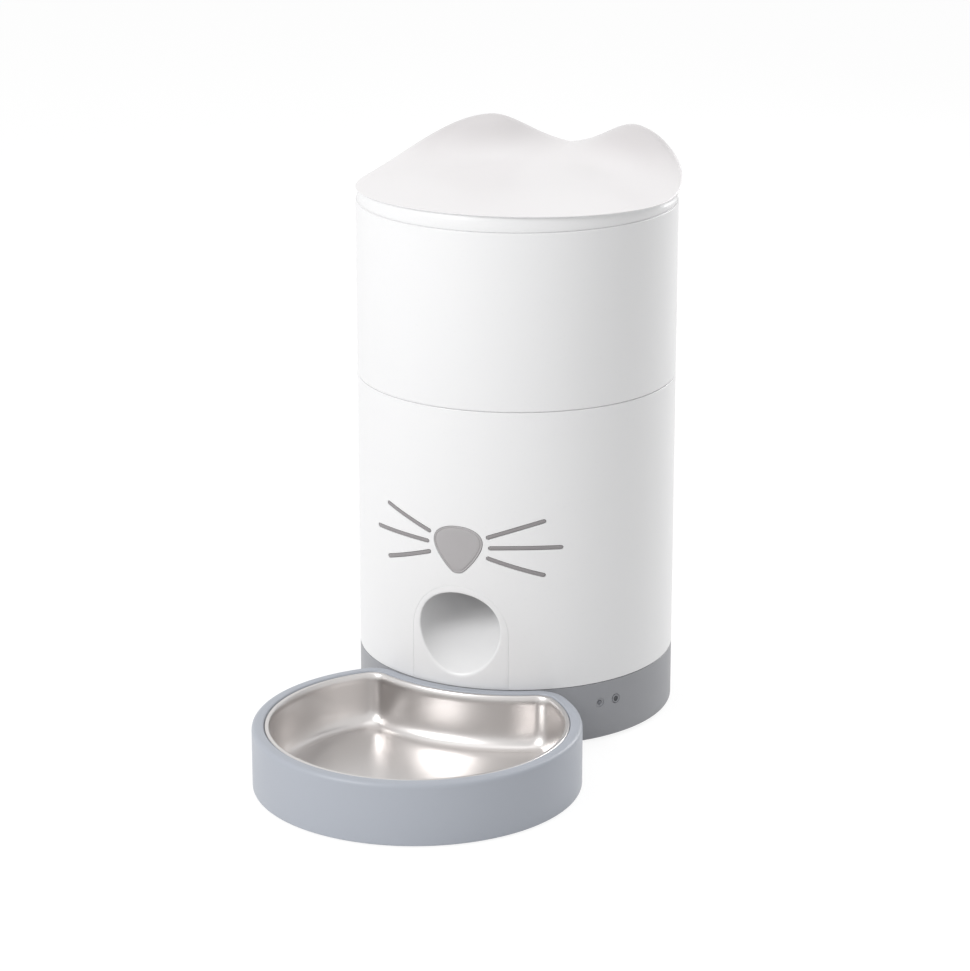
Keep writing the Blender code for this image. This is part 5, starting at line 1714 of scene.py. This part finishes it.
@dataclass
class Crescent:
    """The bowl's outline: a circle with the tower's round cut out of it.

    Attributes:
        radius: of the circle.
        distance: from the tower's axis to its middle.
        notch: the radius of what is cut out.
        steps: along the circle, each corner and the notch.
    """

    radius: float = 94.5
    distance: float = 156.8
    notch: float = 95.5
    steps: tuple[int, int, int] = (176, 16, 56)

    def ring(self, inset: float, corner: float, height: float) -> list[Vector]:
        """The outline drawn in.

        Args:
            inset: how far.
            corner: the radius of its two corners.
            height: of the ring.

        Returns:
            Its points.
        """
        outer, notch = self.radius - inset, self.notch + inset
        r1, r2, y1 = outer - corner, notch + corner, -self.distance
        y = (r1 * r1 - r2 * r2 - y1 * y1) / (-2 * y1)
        middle = Vector((math.sqrt(max(0.0, r1 * r1 - (y - y1) ** 2)), y))
        outer_angle = math.atan2(middle.y - y1, middle.x)
        notch_angle = math.atan2(middle.y, middle.x)

        def arc(at: Sequence[float], radius: float, start: float, end: float, steps: int) -> list[Vector]:
            """Points along an arc, without its last one."""
            turns = [start + (end - start) * i / steps for i in range(steps)]
            return [Vector((at[0] + radius * math.cos(t), at[1] + radius * math.sin(t), height)) for t in turns]

        long, short, inner = self.steps
        points = arc((0, y1), outer, -math.pi - outer_angle, outer_angle, long)
        points += arc(middle, corner, outer_angle, notch_angle + math.pi, short)
        points += arc((0, 0), notch, notch_angle, -math.pi - notch_angle, inner)
        return points + arc((-middle.x, middle.y), corner, -notch_angle, math.pi - outer_angle, short)


@dataclass
class Bowl(Assembly):
    """The bowl holder with its pads, and the steel dish in it."""

    outline: Crescent = field(default_factory=Crescent)
    corner: float = 18.0
    corner_side: float = 10.0
    height: float = 37.5
    low: float = 0.8
    wall: float = 2.4
    rim: float = 7.0
    ledge: float = 1.8
    drop: float = 2.9
    pocket: float = 3.0
    tongue: Size = (40.0, 12.0, 3.0)
    pad_radius: float = 7.0
    pad_place: float = 66.0
    pad_angles: tuple[float, ...] = (0, 125, 235)
    sheet: float = 0.8
    floor: float = 5.6
    floor_inset: float = 19.0
    rim_roll: Flat = (2.4, 2.0)
    wall_steps: int = 21
    wall_powers: Flat = (1.5, 2.2)
    dish_corner: float = 10.0

    def loft(self, section: Sequence[Flat], least: float) -> Shape:
        """Skin a section of (inset, height) points round the bowl, and close both ends."""
        rings = [self.outline.ring(inset, max(least, self.corner - inset), z) for inset, z in section]
        tips = [Vector((0, -self.outline.distance - self.corner_side, ring[0].z)) for ring in (rings[0], rings[-1])]
        return Shape().solid(rings, tips)

    def holder(self) -> Shape:
        """The bowl holder and its tongue."""
        rim_low, inner = self.height - self.drop, self.rim + self.ledge
        section = rounded((
            (inner - self.wall, self.pocket - 2),
            (inner - self.wall, rim_low - self.wall, 1.0),
            (self.wall, rim_low - self.wall, 1.0),
            (self.wall, self.low, 0.3),
            (0, self.low, 1.4),
            (0, self.height - 0.2, 3.1),
            (self.rim, self.height, 2.6),
            (self.rim + 0.15, rim_low, 0.3),
            (inner, rim_low, 0.4),
            (inner, self.pocket, 0.8),
        ), closed=False, steps=8)
        width, length, height = self.tongue
        place = Vector((0, -self.outline.notch - 1.0 + length / 2, 7.8))
        tongue = Shape().block((width, length, height), place, 2.0, 0.5)
        return self.loft(section, 2.0).join(tongue)

    def dish(self) -> Shape:
        """The pressed dish: a rolled rim, a curved wall and a slightly crowned floor."""
        start, sheet = self.rim + 0.3, self.sheet
        wall, seat = self.rim + self.ledge + 1.1, self.height - self.drop + 0.3
        floor_inset, floor, (roll, rise), (bend, fall) = self.floor_inset, self.floor, self.rim_roll, self.wall_powers
        depth = seat - floor
        inner = [(wall + sheet, seat - 0.8, 0.0)]
        for i in range(1, self.wall_steps + 1):
            t = i / self.wall_steps
            across, down = (1 - math.cos(t * math.pi / 2)) ** bend, 1 - (1 - t) ** fall
            inner.append((wall + sheet + across * (floor_inset - wall), seat - 0.8 - down * (depth - 0.8), 0.0))
        outer = [(inset - sheet, max(z - sheet * 0.5, floor - sheet), 0.0) for inset, z, _ in inner[1:]]
        outer = [(max(inset, wall), z, 0.0) for inset, z, _ in outer]
        section = rounded((
            (floor_inset + 12, floor - sheet - 0.15), *reversed(outer), (wall, seat), (start, seat, 0.25),
            (start, seat + rise, 0.9), (start + roll, seat + rise, 1.1), *inner,
            (floor_inset + 3.5, floor + 0.25), (floor_inset + 12, floor), (floor_inset + 30, floor),
        ), closed=False, steps=6)
        return self.loft(section, self.dish_corner)

    def build(self) -> None:
        """Build and dress the bowl."""
        self.holder().settle("bowl_holder", GREY, Body.BOWL)
        steel = PressedSteel("brushed steel", "brushed_steel", (0.63, 0.61, 0.6), 0.3,
                             middle=(0.0, AXIS.y / MM - self.outline.distance))
        self.dish().settle("steel_dish", steel, Body.DISH, sharp=60)
        pad = Shape().lathe((
            (0, 0.2), (2, 0.2, 0.1), (2.4, 0, 0.1), (self.pad_radius, 0, 0.3), (self.pad_radius, 0.7, 0.1), (0, 0.7),
        ), 64)
        seats = [around(a, self.pad_place) - Vector((0, self.outline.distance, 0)) for a in self.pad_angles]
        pad.seated(seats, RUBBER)
        pad.settle("bowl_pads", RUBBER, Body.BOWL, *(f"bowl_pad_{i}" for i in range(1, 4)))


# --- metering unit ---


@dataclass
class Metering(Assembly):
    """The funnel, deck, rotor, stirrer, gears, motor and their fasteners."""

    chamber: float = 72.7
    chamber_wall: float = 2.5
    chamber_top: float = 158.0
    hub: float = 9.0
    hub_low: float = 112.6
    outlet: float = 54.0
    outlet_half: Flat = (22.0, 16.0)
    collar_wall: float = 1.7
    collar_low: float = 110.8
    posts: Flats = ((22.0, -15.0), (-22.0, -15.0), (0.0, 52.0))
    vanes: int = 8
    vane_tip: float = 71.3
    rotor_low: float = 121.6
    rotor_top: float = 147.0
    stirrer_arms: int = 3
    gear_module: float = 1.3
    gear_low: float = 103.0
    gear_high: float = 109.0
    gear_distance: float = 27.3
    shaft: float = 3.0
    gear_teeth: int = 30
    pinion_teeth: int = 12
    guard_angle: float = 50.0
    guard_inner: float = 16.0
    guard_levels: Flat = (147.6, 149.4)
    guard_steps: int = 28
    outlet_steps: int = 72
    deck_screw_place: float = 89.0
    deck_screw_angles: tuple[float, ...] = (30, 150, 270)
    hub_radius: float = 11.0
    hub_bore: float = 3.3
    vane_root: float = 9.5
    bush: Section = ((5, 120.5, 0.3), (5, 113.1, 0.3), (3.3, 113.1, 0.3), (3.3, 120.5, 0.3))
    spindle: Section = (
        (0, 98.3), (2.5, 98.3, 0.3), (2.5, 109), (4.6, 109), (4.6, 111.4, 0.4), (0, 111.4),
    )
    motor: Section = (
        (0, 42.7), (5, 42.7, 0.6), (5, 44.7), (14, 44.7, 1.5), (14, 48, 0.2), (13.6, 48.3), (13.6, 49.3), (14, 49.6),
        (14, 71.7), (18, 71.7, 0.8), (18, 84, 0.2), (17.7, 84.3), (17.7, 85), (18, 85.3), (18, 97.7, 0.6), (0, 97.7),
    )
    motor_ribs: int = 24

    def ellipse(self, grow: float) -> list[Flat]:
        """The outline of the food outlet, made so much larger."""
        (wide, deep), turns = self.outlet_half, [TURN * i / self.outlet_steps for i in range(self.outlet_steps)]
        return [((wide + grow) * math.cos(a), -self.outlet + (deep + grow) * math.sin(a)) for a in turns]

    def funnel(self) -> None:
        """The hopper's funnel."""
        fits = self.fits
        seat, out = fits.spigot - 2 * 2.3, fits.inside - fits.gap
        Shape().lathe((
            (out, 216.5, 0.4), (out, 209.1, 0.3), (seat, 209.1), (seat, 204.1, 1.5), (72.4, 179.5, 3.0),
            (72.4, 150.0, 0.5), (70.0, 150.0, 0.5), (70.0, 180.0, 3.0),
        ), steps=6).settle("hopper_funnel", PALE, Body.HOPPER)

    def deck(self) -> None:
        """The metering deck with its chamber, collar and posts."""
        fits = self.fits
        out, wall = fits.inside - fits.gap, self.chamber + self.chamber_wall
        deck = Shape().lathe((
            (0, self.hub_low), (self.hub, self.hub_low, 0.5), (self.hub, fits.deck_low, 0.8),
            (out, fits.deck_low, 0.4), (out, fits.deck_top, 0.4), (wall, fits.deck_top, 1.0),
            (wall, self.chamber_top, 0.6), (self.chamber, self.chamber_top, 0.6),
            (self.chamber, fits.deck_top, 0.6), (0, fits.deck_top),
        ))
        collar = Shape().prism(self.ellipse(self.collar_wall), self.collar_low, fits.deck_low + 0.5)
        post = Shape().lathe(((0, 100.8), (4, 100.8, 0.4), (4, 118.5), (0, 118.5)), 32)
        deck.join(collar, post.seated([Vector((*place, 0)) for place in self.posts], PALE))
        hole = Shape().prism(self.ellipse(0), self.collar_low - 5, fits.deck_top + 5)
        deck.carve(hole, Shape().rod(5.3, 105, 130))
        deck.settle("metering_deck", PALE, Body.TOWER)
        steps = self.guard_steps
        angles = [(2 * i / steps - 1) * self.guard_angle for i in range(steps + 1)]
        fan = places(angles, self.chamber - fits.gap) + places(reversed(angles), self.guard_inner)
        outline = rounded([(p.x, p.y, 1.0) if i in (0, steps, steps + 1, 2 * steps + 1) else (p.x, p.y)
                           for i, p in enumerate(fan)])
        Shape().prism(outline, *self.guard_levels).settle("outlet_guard", PALE, Body.TOWER, sharp=25)
        Shape().lathe(self.bush, 48).settle("shaft_bush", BRASS, Body.TOWER)

    def rotor(self) -> None:
        """The rotor, a hub with vanes that a Geometry Nodes tree sets round it, and what turns with it."""
        low, top, hub_radius, bore = self.rotor_low, self.rotor_top, self.hub_radius, self.hub_bore
        hub = Shape().lathe((
            (hub_radius, top, 0.8), (hub_radius, low, 0.5), (bore, low, 0.3), (bore, top, 0.4),
        ), 96)
        length = self.vane_tip - self.vane_root
        vane = Shape().block((2, length, top - low), Vector((0, 0, low)), 0.9, 0.6)
        vane.repeated(WHEEL, GREY, Count=self.vanes, Radius=(self.vane_tip + self.vane_root) / 2,
                      Start=math.pi / self.vanes)
        hub.join(vane).settle("dispensing_rotor", GREY, Body.ROTOR)
        cap_low, shoulder, cap_top = top + 0.3, top + 5.8, top + 12.8
        cap = Shape().lathe((
            (bore, cap_low), (hub_radius, cap_low, 0.5), (hub_radius, shoulder, 1.5), (6, cap_top, 1.8),
            (0.01, cap_top), (0.01, shoulder + 0.3), (bore, shoulder + 0.3),
        ), 72)
        arm = Shape().block((6, 50, 3), Vector((0, 0, 150.7)), 2.8, 0.9)
        arm.repeated(WHEEL, GREY, Count=self.stirrer_arms, Radius=31.0, Start=math.pi / 2)
        cap.join(arm).settle("stirrer", GREY, Body.ROTOR)
        shaft = Shape().lathe(((0, 96), (self.shaft, 96, 0.5), (self.shaft, 152.8, 0.5), (0, 152.8)), 64)
        shaft.settle("drive_shaft", PLATED, Body.ROTOR)

    def gear(self, teeth: int, bore: float, finish: Finish) -> Shape:
        """A spur gear whose teeth a Geometry Nodes tree sets round its rim.

        Args:
            teeth: how many.
            bore: the radius of its hole.
            finish: what it is made of.

        Returns:
            The gear about its own axis.
        """
        pitch = self.gear_module * teeth / 2
        root, tip = pitch - 1.2 * self.gear_module, pitch + 0.8 * self.gear_module
        tooth, low, high = TURN / teeth, self.gear_low, self.gear_high
        outline = []
        for radius, share in ((root - 0.4, -0.3), (root, -0.29), (tip, -0.12), (tip, 0.12), (root, 0.29),
                              (root - 0.4, 0.3)):
            outline.append((radius * math.sin(share * tooth), -radius * math.cos(share * tooth)))
        item = Shape().prism(outline, low, high)
        item.repeated(WHEEL, finish, Count=teeth, Radius=0.0, Start=0.0)
        section = [(root, high, 0.2), (root, low, 0.2), (bore, low, 0.2), (bore, high, 0.2)]
        if root > 14:
            section += [(8, high, 0.2), (8, high - 1.5, 0.4), (root - 2.5, high - 1.5, 0.4), (root - 2.5, high, 0.2)]
        return Shape().lathe(section, 96).join(item)

    def drive(self) -> None:
        """The two gears and the motor."""
        self.gear(self.gear_teeth, self.hub_bore, GEAR).moved(turn=math.pi).settle("rotor_gear", GEAR, Body.ROTOR)
        pinion = self.gear(self.pinion_teeth, 2.4, BRASS).moved(turn=math.pi / self.pinion_teeth)
        pinion.join(Shape().lathe(self.spindle, 40)).moved(Vector((0, self.gear_distance, 0)))
        pinion.settle("drive_pinion", BRASS, Body.PINION)
        motor = Shape().lathe(self.motor, 96)
        rib = Shape().block((1.2, 0.8, 10), Vector((0, 0, 73)), 0.3, 0.2)
        motor.join(rib.repeated(WHEEL, MOTOR, Count=self.motor_ribs, Radius=17.8, Start=0.0))
        motor.moved(Vector((0, self.gear_distance, 0))).settle("gear_motor", MOTOR, Body.TOWER)

    def fasteners(self, base: Base) -> None:
        """The screws of the deck and of the motor's bracket."""
        deck = Shape()
        for seat in places(self.deck_screw_angles, self.deck_screw_place, self.fits.deck_top + 0.3):
            deck.join(base.screw(8.1).moved(seat, math.pi, "X"))
        deck.settle("deck_screws", PLATED, Body.TOWER, *(f"deck_screw_{i}" for i in range(1, 4)))
        bracket = base.screw(7.1).seated([Vector((*place, 97.7)) for place in self.posts], PLATED)
        bracket.settle("bracket_screws", PLATED, Body.TOWER, *(f"bracket_screw_{i}" for i in range(1, 4)))

    def build(self) -> None:
        """Build and dress the metering unit."""
        self.funnel()
        self.deck()
        self.rotor()
        self.drive()
        self.fasteners(Base(self.fits))


# --- electronics ---


@dataclass
class Electronics(Assembly):
    """The two circuit boards with what is soldered to them."""

    size: Size = (54.0, 60.0, 1.6)
    middle: Flat = (40.0, 6.0)
    low: float = 12.3
    post_inset: float = 5.0
    module: Flat = (26.5, -9.0)
    sockets: Flats = ((59.0, 6.0), (21.0, 22.0))
    capacitor: Flat = (50.8, 26.0)
    chip: Flat = (44.0, -12.0)
    key_angle: float = 56.15
    key_front: float = 87.0
    key_size: Size = (22.0, 1.6, 14.0)

    @property
    def top(self) -> float:
        """The height of the control board's upper face."""
        return self.low + self.size[2]

    def board(self) -> None:
        """The control board and its screws."""
        width, length, _ = self.size
        board = Shape().block(self.size, Vector((*self.middle, self.low)), 1.5, 0.12)
        board.settle("control_board", BOARD, Body.TOWER)
        head = Shape().lathe((
            (0, self.top), (2.4, self.top), (2.4, self.top + 0.7, 0.5), (1.2, self.top + 1.2), (1.0, self.top + 0.7),
            (0, self.top + 0.7),
        ), 28)
        x, y = width / 2 - self.post_inset, length / 2 - self.post_inset
        seats = [Vector((self.middle[0] + a * x, self.middle[1] + b * y, 0)) for a in (-1, 1) for b in (-1, 1)]
        head.seated(seats, PLATED).settle("board_screws", PLATED, Body.TOWER)

    def parts(self) -> None:
        """The radio module, the chip, the sockets and the capacitor."""
        top = self.top
        x, y = self.module
        carrier = Shape().block((18, 24, 1.0), Vector((x, y, top)), 0.4, 0.1)
        carrier.settle("radio_board", BOARD, Body.TOWER)
        shield = Shape().block((15.5, 16.5, 2.0), Vector((x, y - 2.6, top + 1.0)), 0.8, 0.35)
        shield.settle("radio_shield", PLATED, Body.TOWER)
        x, y = self.chip
        chip = Shape().block((7, 7, 1.1), Vector((x, y, top + 0.2)), 0.3, 0.15)
        mark = Shape().lathe(((0, top + 1.0), (0.5, top + 1.1), (0.5, top + 2), (0, top + 2)), 20)
        chip.carve(mark.moved(Vector((x - 2.5, y - 2.5, 0)))).settle("control_chip", DARK, Body.TOWER)
        leads = []
        for turn in range(4):
            lead = Shape().block((0.3, 1.3, 0.35), Vector((-2.8, -3.9, top)), 0.1, 0.08)
            lead.repeated(ROW, PLATED, Count=9, Step=(0.7, 0.0, 0.0))
            leads.append(lead.moved(Vector((x, y, 0)), turn * math.pi / 2))
        Shape().join(*leads).settle("chip_leads", PLATED, Body.TOWER)
        housings, pins = Shape(), Shape()
        for x, y in self.sockets:
            housing = Shape().block((8, 14, 6), Vector((x, y, top - 0.3)), 0.5, 0.3)
            housing.carve(Shape().block((5.8, 11.6, 6), Vector((x, y, top + 1.2)), 0.3, 0.1))
            pin = Shape().block((0.7, 0.7, 5), Vector((x, y - 4.0, top + 0.4)), 0.15, 0.2)
            housings.join(housing)
            pins.join(pin.repeated(ROW, BRASS, Count=5, Step=(0.0, 2.0, 0.0)))
        housings.settle("board_sockets", PALE, Body.TOWER)
        pins.settle("socket_pins", BRASS, Body.TOWER)
        capacitor = Shape().lathe((
            (0, top), (3.8, top, 0.4), (4, top + 0.8), (4, top + 1.4, 0.2), (3.7, top + 1.7, 0.2), (4, top + 2.0, 0.2),
            (4, top + 12, 0.6), (3.3, top + 12, 0.2), (3.2, top + 11.6), (0, top + 11.6),
        ), 48)
        capacitor.moved(Vector((*self.capacitor, 0))).settle("capacitor", DARK, Body.TOWER)

    def keys(self) -> None:
        """The upright board behind the button."""
        width, thick, height = self.key_size
        level = 24.0
        board = Shape().block((width, height, thick), Vector(), 1.0, 0.12).moved(turn=math.pi / 2, axis="X")
        board.moved(Vector((0, 0, level)))
        place = around(self.key_angle, self.key_front - thick)
        board.moved(place, self.key_angle * DEGREE).settle("key_board", BOARD, Body.TOWER)
        switch = Shape().lathe((
            (0, self.key_front), (2, self.key_front), (2, 88.2, 0.2), (1.2, 88.2), (1.2, 89, 0.3), (0, 89),
        ), 32)
        switch.outwards(59.7, level).settle("key_switch", DARK, Body.TOWER)

    def build(self) -> None:
        """Build and dress the boards."""
        self.board()
        self.parts()
        self.keys()


# --- kept CAD nodes ---


@dataclass
class KeptNodes(Assembly):
    """CAD nodes whose shape is right and that only need their finish."""

    finishes: tuple[tuple[Finish, tuple[str, ...]], ...] = (
        (BASE_GREY, ("battery_door",)),
        (DARK, ("battery_tray",)),
        (PLATED, ("battery_contact_front", "battery_contact_rear", "motor_bracket")),
        (SLEEVE, ("battery_cell_1", "battery_cell_2", "battery_cell_3", "battery_cell_4")),
    )

    def build(self) -> None:
        """Give each kept node its finish."""
        for finish, nodes in self.finishes:
            for name in nodes:
                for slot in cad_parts[name].material_slots:
                    slot.material = finish.material()
                log.info("%s: kept, %s", name, finish.name)


# --- studio ---


@dataclass
class Lamp:
    """A soft area lamp.

    Attributes:
        name: what it is for.
        place: where it stands, in metres.
        aim: what it looks at.
        size: its width and height.
        power: in watts.
    """

    name: str
    place: Size
    aim: Size
    size: Flat
    power: float

    def build(self) -> None:
        """Hang the lamp."""
        light = bpy.data.lights.new(self.name, "AREA")
        light.shape, light.size, light.size_y, light.energy = "RECTANGLE", *self.size, self.power
        lamp = added(self.name, light)
        lamp.location, lamp.visible_camera = self.place, False
        lamp.rotation_euler = (Vector(self.aim) - lamp.location).to_track_quat("-Z", "Y").to_euler()


@dataclass
class Studio:
    """The floor, the light and the camera.

    Attributes:
        azimuth: where the camera stands, in degrees from the front towards +X.
        distance: from the tower's axis, in metres along the floor.
        height: of the camera.
        pitch: how far it looks down, in radians.
        yaw: how far it looks past the tower, in radians.
        focal: the focal length, in pixels of the photograph.
    """

    azimuth: float = 21.0
    distance: float = 1.9288
    height: float = 0.7372
    pitch: float = 0.3037
    yaw: float = 0.0098
    focal: float = 3345.5
    picture: tuple[int, int] = (970, 971)
    ambient: float = 0.5
    floor_glow: float = 1.1
    floor_share: float = 0.8
    floor_half: float = 6000
    lamps: tuple[Lamp, ...] = (
        Lamp("key", (-0.9, -1.6, 1.35), (0.0, 0.02, 0.15), (1.0, 1.0), 24.0),
        Lamp("top", (0.05, 0.1, 2.1), (0.0, 0.05, 0.3), (2.0, 2.0), 7.0),
        Lamp("rim", (0.62, 1.45, 0.85), (0.05, 0.08, 0.25), (0.45, 1.1), 9.5),
    )

    def camera(self) -> None:
        """Set up the photograph's camera."""
        data = bpy.data.cameras.new("camera")
        data.sensor_width = 36.0
        data.lens = self.focal / max(self.picture) * data.sensor_width
        data.clip_start, data.clip_end = 0.05, 50
        seen = added("camera", data)
        side, turned = self.azimuth * DEGREE, self.azimuth * DEGREE + self.yaw
        seen.location = AXIS + Vector((math.sin(side) * self.distance, -math.cos(side) * self.distance, self.height))
        ahead = Vector((-math.sin(turned) * math.cos(self.pitch), math.cos(turned) * math.cos(self.pitch),
                        -math.sin(self.pitch)))
        seen.rotation_euler = ahead.to_track_quat("-Z", "Y").to_euler()
        bpy.context.scene.camera = seen

    def seen_directly(self, graph: Graph) -> Socket:
        """1 for a ray of the camera, of gloss or through glass."""
        kinds = [graph.node("ShaderNodeLightPath", output=f"Is {kind} Ray")
                 for kind in ("Camera", "Glossy", "Transmission")]
        total = kinds[0] + kinds[1] + kinds[2]
        return graph.node("ShaderNodeMath", {"operation": "MINIMUM"}, {0: total, 1: 1.0})

    def world(self) -> None:
        """A white surround that lights the object softly."""
        graph = Graph("surround", "worlds")
        level = graph.ramp(self.seen_directly(graph), 0.0, 1.0, self.ambient, 1.0)
        back = graph.node("ShaderNodeBackground", {}, {"Color": (1, 1, 1, 1), "Strength": level})
        bpy.context.scene.world = graph.output(back, "ShaderNodeOutputWorld")

    def floor(self) -> None:
        """A plain white floor that keeps a soft shadow, and is clear from below."""
        graph = Graph("floor")
        grain = graph.noise(8, 2)
        colour = graph.mix(grain * 0.1, (0.9, 0.9, 0.9, 1), (0.88, 0.88, 0.88, 1))
        diffuse = graph.node("ShaderNodeBsdfDiffuse", {}, {"Color": colour})
        glow = graph.node("ShaderNodeEmission", {}, {"Color": (1, 1, 1, 1), "Strength": self.floor_glow})
        factor = self.seen_directly(graph) * self.floor_share
        above = graph.node("ShaderNodeMixShader", {}, {0: factor, 1: diffuse, 2: glow})
        clear = graph.node("ShaderNodeBsdfTransparent")
        below = graph.node("ShaderNodeNewGeometry", output="Backfacing")
        material = graph.output(graph.node("ShaderNodeMixShader", {}, {0: below, 1: above, 2: clear}))
        shape, half = Shape(), self.floor_half
        corners = ((-half, -half, 0), (half, -half, 0), (half, half, 0), (-half, half, 0))
        shape.bm.faces.new([shape.bm.verts.new(corner) for corner in corners])
        mesh = shape.mesh()
        mesh.transform(Matrix.Scale(MM, 4))
        mesh.materials.append(material)
        added("floor", mesh)

    def build(self) -> None:
        """Set up the whole studio."""
        bpy.context.scene.view_settings.view_transform = "Standard"
        self.world()
        self.floor()
        for lamp in self.lamps:
            lamp.build()
        self.camera()


def main() -> None:
    """Build the feeder in order, and then the studio round it."""
    logging.basicConfig(level=logging.INFO, format="%(name)s %(message)s")
    fits = Fits()
    face, mouth = Face(fits), Mouth(fits)
    assemblies: list[Assembly] = [
        face, mouth, Walls(fits, face, mouth), Lid(fits), Base(fits), Bowl(fits), Metering(fits),
        Electronics(fits), KeptNodes(fits),
    ]
    for assembly in assemblies:
        assembly.build()
    Studio().build()


if __name__ == "__main__":
    main()
